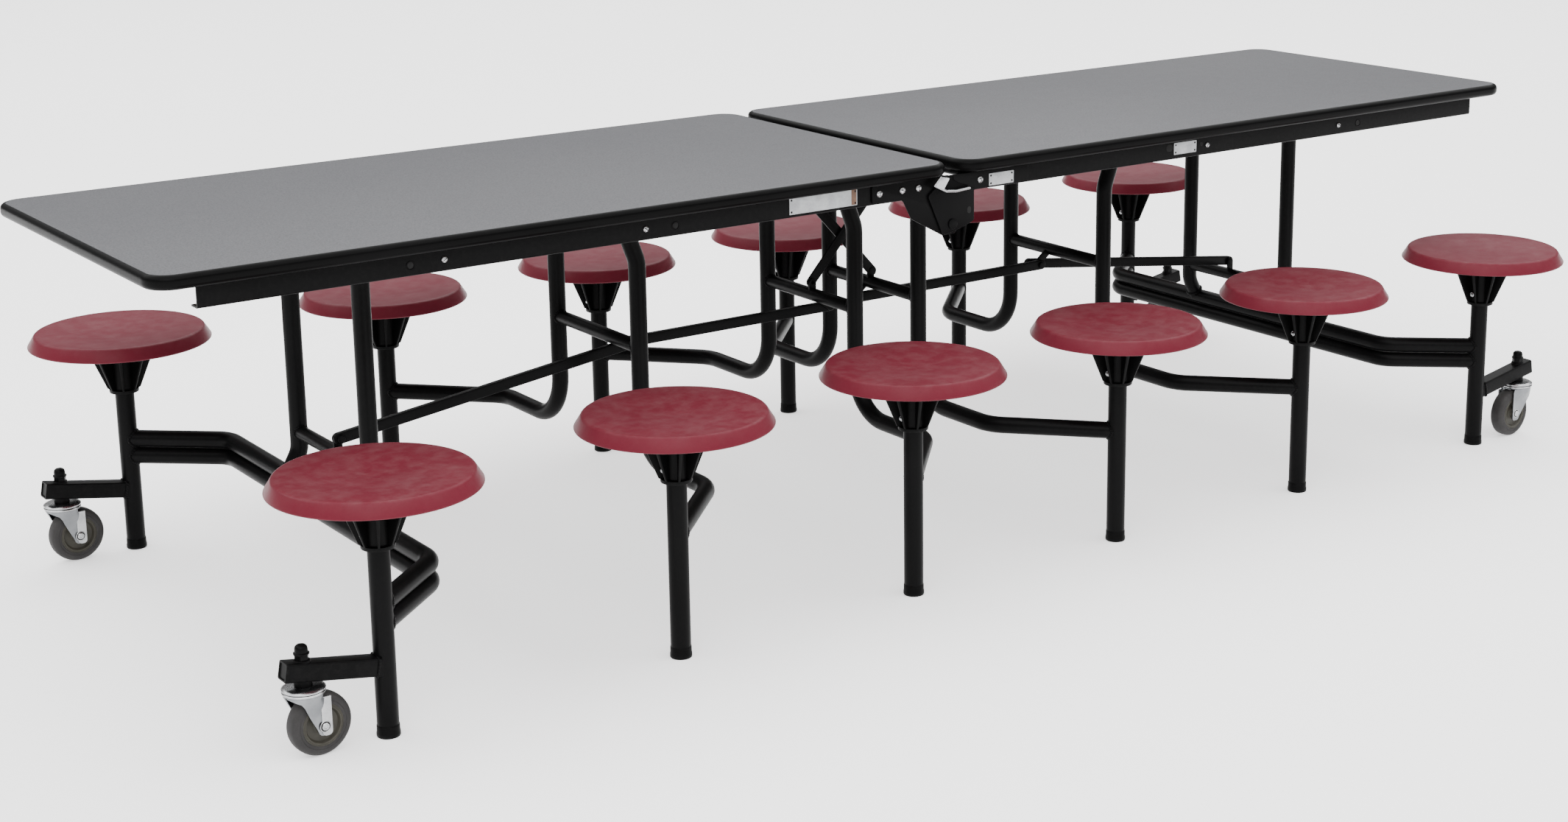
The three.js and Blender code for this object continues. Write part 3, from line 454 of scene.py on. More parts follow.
# What a finish has unless it says otherwise
usualFinish = {"dust": 0.0, "mottle": 0.2, "spread": 0.2, "grainScale": 900, "bump": 0.1, "metallic": 0.0,
               "specular": 0.5}
finishes = {
    "blackCoat": {"slot": "black_paint", "color": (0.0022, 0.0022, 0.0023), "patch": (0.0034, 0.0034, 0.0036),
                  "patchScale": 5, "mottle": 0.12, "dust": 0.004, "roughness": 0.36, "spread": 0.06,
                  "grainScale": 650, "bump": 0.05, "specular": 0.05, "worn": (0.03, 0.029, 0.028), "wear": 0.1},
    "edgeVinyl": {"slot": "edge_black", "color": (0.0018, 0.0018, 0.0018), "patch": (0.0028, 0.0028, 0.0029),
                  "patchScale": 4, "mottle": 0.12, "dust": 0.004, "roughness": 0.33, "spread": 0.08,
                  "grainScale": 420, "specular": 0.04, "worn": (0.04, 0.04, 0.04), "wear": 0.2},
    "laminate": {"slot": "laminate_grey", "color": (0.079, 0.0797, 0.0857), "patch": (0.085, 0.0857, 0.091),
                 "patchScale": 1.6, "mottle": 0.10, "roughness": 0.42, "spread": 0.08, "grainScale": 1400,
                 "bump": 0.08, "specular": 0.1, "light": (0.145, 0.1465, 0.153), "dark": (0.046, 0.047, 0.051)},
    "backer": {"slot": "black_plastic", "color": (0.055, 0.043, 0.034), "patch": (0.075, 0.06, 0.048),
               "patchScale": 9, "mottle": 0.4, "roughness": 0.7, "spread": 0.15, "grainScale": 300,
               "bump": 0.15, "specular": 0.2},
    "maroonSeat": {"slot": "maroon_plastic", "color": (0.103, 0.0108, 0.0195), "patch": (0.110, 0.0122, 0.0215),
                   "patchScale": 7, "mottle": 0.12, "dust": 0.05, "roughness": 0.38, "spread": 0.12,
                   "grainScale": 1100, "specular": 0.10, "worn": (0.2, 0.06, 0.07), "wear": 0.12},
    "hubPlastic": {"slot": "black_plastic", "color": (0.0015, 0.0015, 0.0015), "patch": (0.0025, 0.0025, 0.0026),
                   "patchScale": 20, "dust": 0.006, "roughness": 0.45, "spread": 0.1, "grainScale": 1300,
                   "specular": 0.06, "worn": (0.03, 0.03, 0.03), "wear": 0.3},
    "zinc": {"slot": "zinc", "color": (0.235, 0.243, 0.252), "patch": (0.165, 0.172, 0.182), "patchScale": 22,
             "mottle": 0.16, "roughness": 0.3, "grainScale": 1500, "bump": 0.08, "metallic": 1.0,
             "worn": (0.45, 0.45, 0.46), "wear": 0.4},
    # A lighter copy of the zinc for the bolt heads, screws, raceway rings, strip, axle bolt and latch: its extra
    # brightness is painted highlight
    "brightZinc": {"slot": "zinc", "color": (0.44, 0.445, 0.45), "patch": (0.34, 0.345, 0.355), "patchScale": 50,
                   "roughness": 0.26, "grainScale": 1500, "bump": 0.08, "metallic": 1.0,
                   "worn": (0.9, 0.9, 0.9), "wear": 0.4},
    "nameplate": {"slot": "zinc", "color": (0.40, 0.41, 0.42), "patch": (0.31, 0.32, 0.33), "patchScale": 45,
                  "mottle": 0.3, "roughness": 0.45, "spread": 0.3, "bump": 0.16, "metallic": 0.8,
                  "worn": (0.36, 0.24, 0.14), "wear": 0.5},
    "tyreRubber": {"slot": "tyre_grey", "color": (0.0175, 0.0162, 0.0162), "patch": (0.024, 0.0222, 0.0220),
                   "patchScale": 30, "mottle": 0.35, "dust": 0.06, "roughness": 0.66, "grainScale": 800,
                   "bump": 0.3, "specular": 0.3, "worn": (0.06, 0.057, 0.055), "wear": 0.4},
    "corePlastic": {"slot": "core_grey", "color": (0.030, 0.0275, 0.0205), "patch": (0.040, 0.037, 0.028),
                    "patchScale": 40, "dust": 0.03, "roughness": 0.52, "spread": 0.15, "grainScale": 1200,
                    "bump": 0.12, "specular": 0.3, "worn": (0.10, 0.092, 0.065), "wear": 0.5},
    "brownBand": {"slot": "black_plastic", "color": (0.12, 0.06, 0.035), "patch": (0.16, 0.085, 0.05),
                  "patchScale": 60, "mottle": 0.3, "roughness": 0.6},
    "shadowGap": {"slot": "black_plastic", "color": (0.002, 0.002, 0.002), "patch": (0.003, 0.003, 0.003),
                  "patchScale": 20, "mottle": 0.1, "roughness": 0.9, "spread": 0.05},
}


def makeMaterial(name, finish):
    look = {**usualFinish, **finish}
    material = bpy.data.materials.new(name)
    material.use_nodes = True
    tree = material.node_tree
    surface = addNode(tree, "ShaderNodeGroup", {
        "Color": (*look["color"], 1), "Patch Color": (*look["patch"], 1), "Patch Scale": look["patchScale"],
        "Mottle": look["mottle"], "Dust": look["dust"], "Roughness": look["roughness"],
        "Roughness Spread": look["spread"], "Grain Scale": look["grainScale"]}, node_tree=groups["surface"])
    color, roughness = surface.outputs["Color"], surface.outputs["Roughness"]
    if "light" in look:
        color = addNode(tree, "ShaderNodeGroup", {
            "Color": color, "Light Speck": (*look["light"], 1), "Dark Speck": (*look["dark"], 1)},
            node_tree=groups["speckle"]).outputs["Color"]
    if "worn" in look:
        wear = addNode(tree, "ShaderNodeGroup", {
            "Color": color, "Roughness": roughness, "Worn Color": (*look["worn"], 1), "Wear": look["wear"]},
            node_tree=groups["wear"])
        color, roughness = wear.outputs["Color"], wear.outputs["Roughness"]
    bump = addNode(tree, "ShaderNodeBump", {"Height": surface.outputs["Height"], "Strength": look["bump"],
                                            "Distance": pattern["bumpDepth"]})
    shader = tree.nodes["Principled BSDF"]
    for socket, value in (("Base Color", color), ("Roughness", roughness), ("Normal", bump.outputs[0]),
                          ("Metallic", look["metallic"]), ("Specular IOR Level", look["specular"])):
        feed(tree, shader.inputs[socket], value)
    return material


groups = {"surface": surfaceGroup(), "wear": wearGroup(), "speckle": speckleGroup()}
materials = {name: makeMaterial(name, finish) for name, finish in finishes.items()}
print("materials made:", len(materials))

# Table halves: grey laminate over a backer sheet, inside a rounded black edge band
top = {"length": 3073, "width": 762, "height": 738, "thickness": 24, "splitGap": 26, "corner": 45, "band": 9,
       "bandRound": 9.5, "backer": 1.2, "fit": 0.25, "sunk": 0.1, "sheetGap": 0.05, "laminateEdge": 0.5,
       "backerEdge": 0.2, "cornerSteps": 14, "bandSteps": 7}


# The edge band's section, two quarter circles, carried round the boundary along its outward directions
def topHalf(side):
    outer, inner = -top["length"] / 2, -top["splitGap"] / 2
    middle, length = (outer + inner) / 2, inner - outer
    low, high, band, r = top["height"] - top["thickness"], top["height"], top["band"], top["bandRound"]
    boundary = rectangle(length, top["width"], top["corner"], middle, 0, top["cornerSteps"])
    section = np.concatenate([
        [(-band, high)], arc(-r, high - r, r, quarter, 0, top["bandSteps"]),
        arc(-r, low + r, r, 0, -quarter, top["bandSteps"]), [(-band, low)]])
    section[:, 0] = np.maximum(section[:, 0], -band)
    rise = np.broadcast_to(section[None, :, 1:], (len(boundary), len(section), 1))
    flat = boundary[:, None] + section[None, :, :1] * outwardOf(boundary)[:, None]
    edge = (np.concatenate([flat, rise], axis=-1), True)
    inset = band + top["fit"]
    window = rectangle(length - 2 * inset, top["width"] - 2 * inset, top["corner"] - inset, middle, 0,
                       top["cornerSteps"])
    seam = low + top["backer"]
    laminate = plate(window, seam, high - top["sunk"], top["laminateEdge"], "z")
    backer = plate(window, low + top["sunk"], seam - top["sheetGap"], top["backerEdge"], "z")
    addPiece(f"{side}_edge_band", f"{side}_top", "edgeVinyl", [edge], f"{side}_top_edge", side)
    addPiece(f"{side}_laminate", f"{side}_top", "laminate", [laminate], f"{side}_top_panel", side)
    addPiece(f"{side}_backer_sheet", f"{side}_top", "backer", [backer], None, side)


for side in halfTurns:
    topHalf(side)
print("table halves made")

# Rails: folded channels with bolts, hinge plates on pins, pivot rods and a cross tube. Outlines are written as
# x, height and corner radius, and turned profiles as radius and distance from the face that carries them.
rail = {"outerY": 350, "depth": 25, "wall": 3, "low": 674, "high": 713.7, "endX": 1456.5, "splitX": 19,
        "bend": 3.5, "innerBend": 1.5, "lip": 0.5, "bendSteps": 5, "sunk": 0.1}
pivot = {"height": 692, "end": 1100, "mid": 600, "inner": 115, "rod": 6, "rodEnd": 348, "rodEdge": 0.5,
         "sleeve": 15, "bore": 6.5, "sleeveEnd": 317, "chamfer": 0.6, "hole": (11, 11, 5.4), "holeDepth": 0.25,
         "holeEdge": 0.05, "eyelet": ((5.4, -0.1), (5.4, 0.5), (6.0, 0.9), (7.4, 0.9), (8.0, 0.3), (8.0, -0.1)),
         "collar": ((6.05, 318), (11, 318), (11, 321.6), (6.05, 321.6))}
hinge = {"height": 618, "thickness": 4, "face": {"left": 354, "right": 358.3}, "edge": 0.7,
         "plate": {"left": ((-182, 677, 5), (-182, 710.7, 5), (-3, 710.7, 6), (20, 638, 12), (20, 618, 9),
                            (10, 598, 7), (-20, 598, 7), (-92, 638, 12), (-112, 677, 14)),
                   "right": ((-182, 677, 5), (-182, 710.7, 5), (14, 710.7, 4), (57, 677, 7), (22, 598, 12),
                             (-22, 608, 14), (-52, 618, 8), (-52, 677, 2))},
         "head": (10, 358.6, 361.6, 1.2, 32), "shank": (6, 350.2, 359, 0.3),
         "facing": ((-182, 677), (-56, 679), (-17, 694), (-3, 701), (0, 711), (-182, 711)), "facingRound": 2.5,
         "raised": 1.2, "pad": (120, 33, 2, -122, 693.85), "padY": (349.8, 354.6), "sheetEdge": 0.4,
         "slot": (9, 13, 4.4, -40, 640), "slotDepth": 0.12, "slotEdge": 0.03}
crossTube = {"x": 52, "z": 678, "radius": 12, "endY": 325, "hanger": (24, 36, 4, -52, 695),
             "hangerY": (322, 325.2), "beadY": 321, "beadGap": 0.6, "bead": 2}
bolts = {"dome": 3, "edge": 1, "round": 0.6, "steps": 8, "slotShare": 1.3, "slotWidth": 1.5, "slotRound": 0.3,
         "slotDepth": 1.1, "slotProud": 0.05, "rail": {"radius": 5.5, "turn": 0.5, "step": 2.1, "x": (1040, 660)},
         "plate": {"radius": 6.6, "turn": 1.1, "step": 1.7, "z": 695},
         "plateX": {"left": (166, 113.6, 76.4), "right": (65,)}}


# A folded C section, both sides of a bent strip: outer corners rounded by the bend, inner ones by a smaller one
def channel():
    outer, wall, low, high, lip = rail["outerY"], rail["wall"], rail["low"], rail["high"], rail["lip"]
    inner, bend, innerBend = outer - rail["depth"], rail["bend"], rail["innerBend"]
    section = rounded([
        (inner, low, lip), (outer, low, bend), (outer, high, bend), (inner, high, lip), (inner, high - wall, lip),
        (outer - wall, high - wall, innerBend), (outer - wall, low + wall, innerBend), (inner, low + wall, lip)],
        rail["bendSteps"])
    ends = np.array([-rail["endX"], -rail["splitX"]])
    return np.stack(np.broadcast_arrays(ends[:, None], section[None, :, 0], section[None, :, 1]), axis=-1), False


# A low round head: its edge, then a dome whose radius falls as a cosine while its height grows as a sine
def domedBolt(x, z, face, radius):
    angles = np.linspace(0, quarter, bolts["steps"] + 1)
    dome = np.stack([(radius - bolts["round"]) * np.cos(angles) + bolts["round"],
                     face + bolts["edge"] + bolts["dome"] * np.sin(angles)], axis=1)
    return turnedAlongY(np.concatenate([[(radius, face)], dome]), x, z)


# A driver slot across a bolt's dome: a thin near-black bar of painted shade, turned by cosine and sine
def boltSlotShade(x, z, face, radius, angle):
    outline = rectangle(radius * bolts["slotShare"], bolts["slotWidth"], bolts["slotRound"], 0, 0, 2)
    spin = np.array([[cos(angle), sin(angle)], [-sin(angle), cos(angle)]])
    crest = face + bolts["edge"] + bolts["dome"]
    return plate(outline @ spin + [x, z], crest - bolts["slotDepth"], crest + bolts["slotProud"], rail["sunk"])


# Where the bolts of one side go, with the face under each and the angle that its slot was left at
def boltPlaces(side):
    face = hinge["face"][side] + (0 if side == "left" else hinge["raised"])
    rows = ((bolts["rail"], bolts["rail"]["x"], (rail["low"] + rail["high"]) / 2, rail["outerY"]),
            (bolts["plate"], bolts["plateX"][side], bolts["plate"]["z"], face))
    return [(-x, z, y, kind["radius"], kind["turn"] + kind["step"] * i)
            for kind, row, z, y in rows for i, x in enumerate(row)]


def railPieces(side):
    body, skin, face, sunk = f"{side}_top", rail["outerY"], hinge["face"][side], rail["sunk"]
    # The pivot holes, and on the right the hinge slot, are near-black plates of painted shade on the faces round them
    holeShades = []
    fittings = [plate(rounded(hinge["plate"][side]), face - hinge["thickness"], face, hinge["edge"]),
                plate(rectangle(*crossTube["hanger"]), *crossTube["hangerY"], hinge["sheetEdge"])]
    if side == "left":
        fittings += [rodAlongY(0, hinge["height"], *hinge[rod]) for rod in ("head", "shank")]
    else:
        facing = roundedOutline(hinge["facing"], hinge["facingRound"], 4)
        fittings += [plate(rectangle(*hinge["pad"]), *hinge["padY"], hinge["sheetEdge"]),
                     plate(facing, face - sunk, face + hinge["raised"], hinge["sheetEdge"])]
        slot = rectangle(*hinge["slot"])
        holeShades.append(plate(slot, face - sunk, face + hinge["slotDepth"], hinge["slotEdge"]))
    for x in (pivot["end"], pivot["mid"]):
        hole = rectangle(*pivot["hole"], -x, pivot["height"])
        holeShades.append(plate(hole, skin - sunk, skin + pivot["holeDepth"], pivot["holeEdge"]))
        fittings.append(turnedAlongY(lifted(pivot["eyelet"], skin), -x, pivot["height"], 32, True))
    pivots = (pivot["end"], pivot["mid"], pivot["inner"])
    fittings += [turnedAlongY(pivot["collar"], -x, pivot["height"], 28, True) for x in pivots]
    rods = [rodAlongY(-x, pivot["height"], pivot["rod"], -pivot["rodEnd"], pivot["rodEnd"], pivot["rodEdge"])
            for x in pivots]
    rods.append(rodAlongY(-crossTube["x"], crossTube["z"], crossTube["radius"], -crossTube["endY"],
                          crossTube["endY"], sides=32))
    rods += [ringBead((-crossTube["x"], ySign * crossTube["beadY"], crossTube["z"]), (0, 1, 0),
                      crossTube["radius"] + crossTube["beadGap"], crossTube["bead"]) for ySign in (-1, 1)]
    heads = [domedBolt(*spot[:4]) for spot in boltPlaces(side)]
    # Near-black plates of painted shade stand in the bolt slots
    slotShades = [boltSlotShade(*spot) for spot in boltPlaces(side)]
    addPiece(f"{side}_side_channels", body, "blackCoat", bothSides([channel()]), f"{side}_rails", side)
    addPiece(f"{side}_hinge_fittings", body, "blackCoat", bothSides(fittings) + rods, None, side)
    addPiece(f"{side}_bolt_heads", body, "brightZinc", bothSides(heads), None, side)
    addPiece(f"{side}_bolt_slot_shades", body, "shadowGap", bothSides(slotShades), None, side)
    addPiece(f"{side}_pivot_hole_shades", body, "shadowGap", bothSides(holeShades), None, side)


for side in halfTurns:
    railPieces(side)
print("rails and hinges made")

# Blank plates riveted to the near rail, as width, height, x, z and the face under them, and near-black plates
# of painted shade in the slots punched beside them
marks = {"plates": {"left_long": (149, 30.5, -288, 695, 350), "right_short": (60, 23.5, 116, 692, 359.5),
                    "right_far": (61, 24, 599, 695, 350)},
         "thickness": 1, "corner": 1.2, "edge": 0.25, "rivetInset": 4.5,
         "rivet": ((2.0, 0.9), (2.0, 1.2), (1.4, 1.7), (0.5, 1.9)),
         "band": (11, 28, 0.8, -221, 695), "bandY": (350.9, 351.3), "bandEdge": 0.1,
         "slotShades": ((8, 8, 3.6, 644, 697), (17, 14, 6.3, 557, 698)), "slotDepth": 0.2, "slotEdge": 0.05}


def addRailMarks():
    for name, (width, height, x, z, face) in marks["plates"].items():
        body = f"{name.split('_')[0]}_top"
        outline = rectangle(width, height, marks["corner"], x, z)
        sheet = plate(outline, face, face + marks["thickness"], marks["edge"])
        reachX, reachZ = width / 2 - marks["rivetInset"], height / 2 - marks["rivetInset"]
        rivets = [turnedAlongY(lifted(marks["rivet"], face), x + dx * reachX, z + dz * reachZ, 14)
                  for dx in (-1, 1) for dz in (-1, 1)]
        addPiece(f"{name}_name_plate", body, "nameplate", [flipped(sheet, -1)])
        addPiece(f"{name}_rivets", body, "shadowGap", [flipped(rivet, -1) for rivet in rivets])
    band = plate(rectangle(*marks["band"]), *marks["bandY"], marks["bandEdge"])
    addPiece("left_long_plate_band", "left_top", "brownBand", [flipped(band, -1)])
    skin = rail["outerY"]
    slotShades = [plate(rectangle(*slot), skin - rail["sunk"], skin + marks["slotDepth"], marks["slotEdge"])
             for slot in marks["slotShades"]]
    addPiece("right_rail_slot_shades", "right_top", "shadowGap", [flipped(slot, -1) for slot in slotShades])


addRailMarks()
print("name plates made")

# Bent tube frames
leg = {"radius": 16, "y": 151, "topDrop": 104, "topBend": 60, "footBend": 90, "armHeight": 218, "armBend": 70,
       "armBendY": 375, "endSlope": (0, 0, -1), "slope": (38, 0, -110), "beadBelow": 15.5, "beadInset": 1.5,
       "bead": 2.6}
endTube = {"x": 1124, "bendY": 425, "levels": (185, 218), "rise": 44, "legBend": 50, "bend": 55,
           "beadAt": (1116.5, 231.5), "beadGap": 0.6}
crossbar = {"radius": 12.7, "edge": 0.5, "bead": 2.2}
post = {"radius": 17.5, "rowY": 555, "top": 400.7, "foot": 4.6}
frameKinds = {"end": {"pivotX": 1100, "legX": 1100, "stoolX": 1275, "barHeight": 296},
              "mid": {"pivotX": 600, "legX": 562, "stoolX": 737, "barHeight": 428},
              "inner": {"pivotX": 115, "legX": 77, "stoolX": 243, "barHeight": 428}}
casterArm = {"reach": 135, "size": 30, "overhang": 32, "height": 118, "rise": radians(10), "corner": 3,
             "cornerSteps": 4, "beadAt": 17, "bead": 2.4, "beadGap": 0.6, "beadCorner": 3.5, "stemFoot": (14, 118.4),
             "plug": ((0, 0), (0, 1.6), (1.6, 2.6), (6, 2.6), (7, 0.8)),  # how far in and how far out
             "stem": ((14, -24), (14, -2), (13, 2.4), (12.2, 3)), "nut": ((11.4, 2), (11.4, 11), (10.2, 12)),
             "cap": ((9.6, 11), (12.4, 12), (12.4, 14), (10.4, 15), (10.2, 21), (9.2, 24.4), (6.6, 26.6),
                     (3, 27.4), (1, 27.5))}
link = {"height": 20, "reach": 3, "edge": 1.6, "outerY": (-35, -23), "innerY": (-17, -5), "endPin": (-1100, 326),
        "midPin": (-526, 400), "innerPin": (-41, 400), "slot": 11.5, "slotEnd": (11, 1.4), "slotRadius": 5.2,
        "slotDepth": 0.15, "slotEdge": 0.03}
strap = {"width": 20, "y": (-5, -1), "edge": 0.6, "foot": (-77, 452), "top": (84, 629), "rivet": 8.5,
         "rivetEdge": 0.5, "footRivetY": (-0.9, 0.4), "topRivetY": (-6.4, 0.6)}
ear = {"radius": 8, "edge": 0.5, "pin": 4, "fit": 0.3, "head": 7, "headDepth": 3, "headRound": 1.1,
       "y": (-22, -18), "strapY": (-9.7, -5.7), "strapPinY": (-9.7, -0.5),
       "pinY": {"end": (-36, -20), "mid": (-36, -4), "inner": (-20, -4)}}


def towards(start, end):
    run = np.asarray(end, float) - np.asarray(start, float)
    return run / np.linalg.norm(run)


def stoolTubes(kind):
    shape = frameKinds[kind]
    parts = []
    for ySign in (-1, 1):
        corners = [(-shape["pivotX"], ySign * leg["y"], pivot["height"]),
                   (-shape["legX"], ySign * leg["y"], pivot["height"] - leg["topDrop"]),
                   (-shape["legX"], ySign * leg["y"], leg["armHeight"]),
                   (-shape["legX"], ySign * leg["armBendY"], leg["armHeight"]),
                   (-shape["stoolX"], ySign * post["rowY"], leg["armHeight"])]
        parts.append(tube(corners, (leg["topBend"], leg["footBend"], leg["armBend"]), leg["radius"]))
        parts.append(weldBead(corners[4], post["radius"], leg["radius"], towards(corners[4], corners[3])))
    return parts


def stackedTubes():
    parts = []
    stool, (beadX, beadZ) = frameKinds["end"]["stoolX"], endTube["beadAt"]
    for level in endTube["levels"]:
        corners = [(-stool, -post["rowY"], level), (-endTube["x"], -endTube["bendY"], level),
                   (-endTube["x"], endTube["bendY"], level), (-stool, post["rowY"], level)]
        parts.append(tube(corners, (endTube["bend"],) * 2, leg["radius"]))
        for tip, before in ((corners[0], corners[1]), (corners[3], corners[2])):
            parts.append(weldBead(tip, post["radius"], leg["radius"], towards(tip, before)))
    for ySign in (-1, 1):
        corners = [(-pivot["end"], ySign * leg["y"], pivot["height"]),
                   (-pivot["end"], ySign * leg["y"], endTube["levels"][1] + endTube["rise"]),
                   (-endTube["x"], ySign * leg["y"], endTube["levels"][1])]
        parts.append(tube(corners, (endTube["legBend"],), leg["radius"]))
        parts.append(ringBead((-beadX, ySign * leg["y"], beadZ), towards(corners[2], corners[1]),
                              leg["radius"] + endTube["beadGap"], leg["bead"]))
    return parts


# A bead round a square tube: its rounded square outline, one size larger, at even steps along its length
def squareBead(centre, direction):
    size = casterArm["size"] + casterArm["beadGap"]
    outline = rectangle(size, size, casterArm["beadCorner"], steps=casterArm["cornerSteps"])
    closedOutline = np.vstack([outline, outline[:1]])
    gaps = np.linalg.norm(np.diff(closedOutline, axis=0), axis=1)
    distance = np.concatenate([[0], np.cumsum(gaps)])
    spots = np.linspace(0, distance[-1], weld["stations"], endpoint=False)
    flat = np.stack([np.interp(spots, distance, closedOutline[:, k]) for k in range(2)], axis=1)
    across = np.array([0, 1.0, 0])
    ring = centre + flat[:, :1] * across + flat[:, 1:] * np.cross(direction, across)
    phase = weld["squareRipples"] * 2 * pi * spots / distance[-1]
    return bead(ring, unit(ring - centre), direction, casterArm["bead"], phase)


# The caster arms rise outwards along a cosine and a sine; each has a plug in its end and the caster's stem,
# nut and cap turned about the upright through it
def casterArms():
    parts, plugs = [], []
    size, rise, steps = casterArm["size"], casterArm["rise"], casterArm["cornerSteps"]
    direction = np.array([-cos(rise), 0, sin(rise)])
    stemX = -frameKinds["end"]["stoolX"] - casterArm["reach"]
    stemZ = casterArm["height"] + casterArm["reach"] * tan(rise) + size / 2
    stem = np.concatenate([[casterArm["stemFoot"]], lifted(casterArm["stem"], stemZ)])
    for ySign in (-1, 1):
        y = ySign * post["rowY"]
        start = np.array([-frameKinds["end"]["stoolX"], y, casterArm["height"]])
        tip = start + direction * (casterArm["reach"] + casterArm["overhang"])
        parts.append(carried(np.stack([start, tip]), rectangle(size, size, casterArm["corner"], steps=steps)))
        parts.append(squareBead(start + direction * casterArm["beadAt"], direction))
        rings = [carried(tip + np.outer((out, out + 1), direction),
                         rectangle(size - inset, size - inset, casterArm["corner"], steps=steps))[0][0]
                 for inset, out in casterArm["plug"]]
        plugs.append((np.stack(rings), False))
        for profile, sides in ((stem, 36), (lifted(casterArm["nut"], stemZ), 6), (lifted(casterArm["cap"], stemZ), 36)):
            parts.append(turned(profile, stemX, y, sides))
    return parts, plugs


# A stadium is two half circles joined by straight sides
def stadium(start, end, radius, back=0, ahead=0, steps=10):
    angle = atan2(end[1] - start[1], end[0] - start[0])
    along = np.array([cos(angle), sin(angle)])
    return np.concatenate([
        arc(*(np.array(start) - along * back), radius, angle + quarter, angle + 3 * quarter, steps),
        arc(*(np.array(end) + along * ahead), radius, angle - quarter, angle + quarter, steps)])


def pinEar(bar, pin, earY, pinY, headed=True):
    parts = [plate(stadium(bar, pin, ear["radius"], steps=8), *earY, ear["edge"]),
             rodAlongY(*pin, ear["pin"], *pinY, ear["fit"])]
    if headed:
        (low, high), fit, depth = pinY, ear["fit"], ear["headDepth"]
        for span in ((low - depth, low + fit), (high - fit, high + depth)):
            parts.append(rodAlongY(*pin, ear["head"], *span, ear["headRound"], 28))
    return parts


def framePieces(side, kind):
    body, shape = f"{side}_{kind}_stools", frameKinds[kind]
    parts, plugs = stackedTubes() if kind == "end" else stoolTubes(kind), []
    if kind == "end":
        arms, plugs = casterArms()
        parts += arms
    bar = (-shape["legX"], shape["barHeight"])
    parts.append(rodAlongY(*bar, crossbar["radius"], -leg["y"], leg["y"], crossbar["edge"], 28))
    slope = leg["endSlope" if kind == "end" else "slope"]
    for ySign in (-1, 1):
        spot = (-shape["legX"], ySign * leg["y"], shape["barHeight"])
        foot = np.array([-shape["pivotX"], ySign * leg["y"], pivot["height"]]) \
            + unit(np.array(slope, float)) * leg["beadBelow"]
        parts += [weldBead(spot, leg["radius"], crossbar["radius"], (0, -ySign, 0), crossbar["bead"]),
                  uprightRod(-shape["stoolX"], ySign * post["rowY"], post["radius"], post["foot"], post["top"]),
                  ringBead(foot, slope, leg["radius"] - leg["beadInset"], leg["bead"])]
    bore, sleeve, end, chamfer = pivot["bore"], pivot["sleeve"], pivot["sleeveEnd"], pivot["chamfer"]
    profile = [(bore, -end), (sleeve - chamfer, -end), (sleeve, -end + chamfer), (sleeve, end - chamfer),
               (sleeve - chamfer, end), (bore, end)]
    parts.append(turnedAlongY(profile, -shape["pivotX"], pivot["height"], 36, True))
    parts += pinEar(bar, link[f"{kind}Pin"], ear["y"], ear["pinY"][kind])
    if kind == "inner":
        parts += pinEar(bar, strap["foot"], ear["strapY"], ear["strapPinY"], False)
    addPiece(f"{side}_{kind}_tubes", body, "blackCoat", parts, f"{side}_{kind}_frame", side)
    if plugs:
        addPiece(f"{side}_{kind}_arm_plugs", body, "hubPlastic", plugs, None, side)


for side in halfTurns:
    for kind in frameKinds:
        framePieces(side, kind)
print("tube frames made")

# Stools: a dished seat with a flared rim on a ribbed hub, and a glide cap on the post's foot
seat = {"radius": 167, "height": 432, "bottom": 401, "skirt": 408, "boss": 66, "dish": 7, "flat": 147, "sides": 96,
        "start": 1.2, "gate": 0.7, "gateWidth": 4, "rimIn": 17, "rimRound": 7, "rimAngle": radians(22),
        "lipRound": 2.4, "lipAngle": radians(15), "innerLip": ((5.6, 1), (7.7, 5)), "innerRound": 3.8,
        "innerDrop": 7.5, "sheet": 4.2, "underRibs": 8, "ribHalf": 1.4, "ribEdge": 0.3,
        "rib": ((68, 404), (148, 417), (150, 427), (143, 428.2), (80, 420.5), (70, 414))}
hub = {"top": 64, "foot": 27, "flare": 2.6, "sleeve": 21.5, "bore": 17.8, "low": 310.7, "high": 400.7, "collar": 6,
       "edge": 0.6, "headSteps": (3.6, 3, 0.6, 0), "ribs": 8, "ribHalf": 2.1, "ribAt": 36, "firstRib": radians(-22),
       "ribShares": (-1.35, -1, -0.4, 0.4, 1, 1.35), "hollowShares": (0.22, 0.5, 0.78),
       "raisedShares": (0, 0.97, 1, 1, 0.97, 0, 0, 0, 0), "hollowEnds": (0.01, 0.94), "hollowSlope": 1.5,
       "screwAngle": pi, "screwHeight": 334, "screwOut": 5.5,
       "screw": ((3.4, 0), (3.6, 1.2), (3.0, 2.2), (1.6, 2.8), (0.6, 3)),
       "screwPad": ((5, -5.6), (5, -0.4), (4.4, 0.1), (1, 0.1))}
glide = {"sides": 40, "profile": ((2, 0), (16.8, 0), (18.2, 0.5), (19, 2), (19, 7), (18.3, 10), (18.2, 19),
                                  (17.8, 20), (16.5, 20))}


def rowName(side, ySign):
    return "near" if (ySign < 0) == (side == "left") else "far"


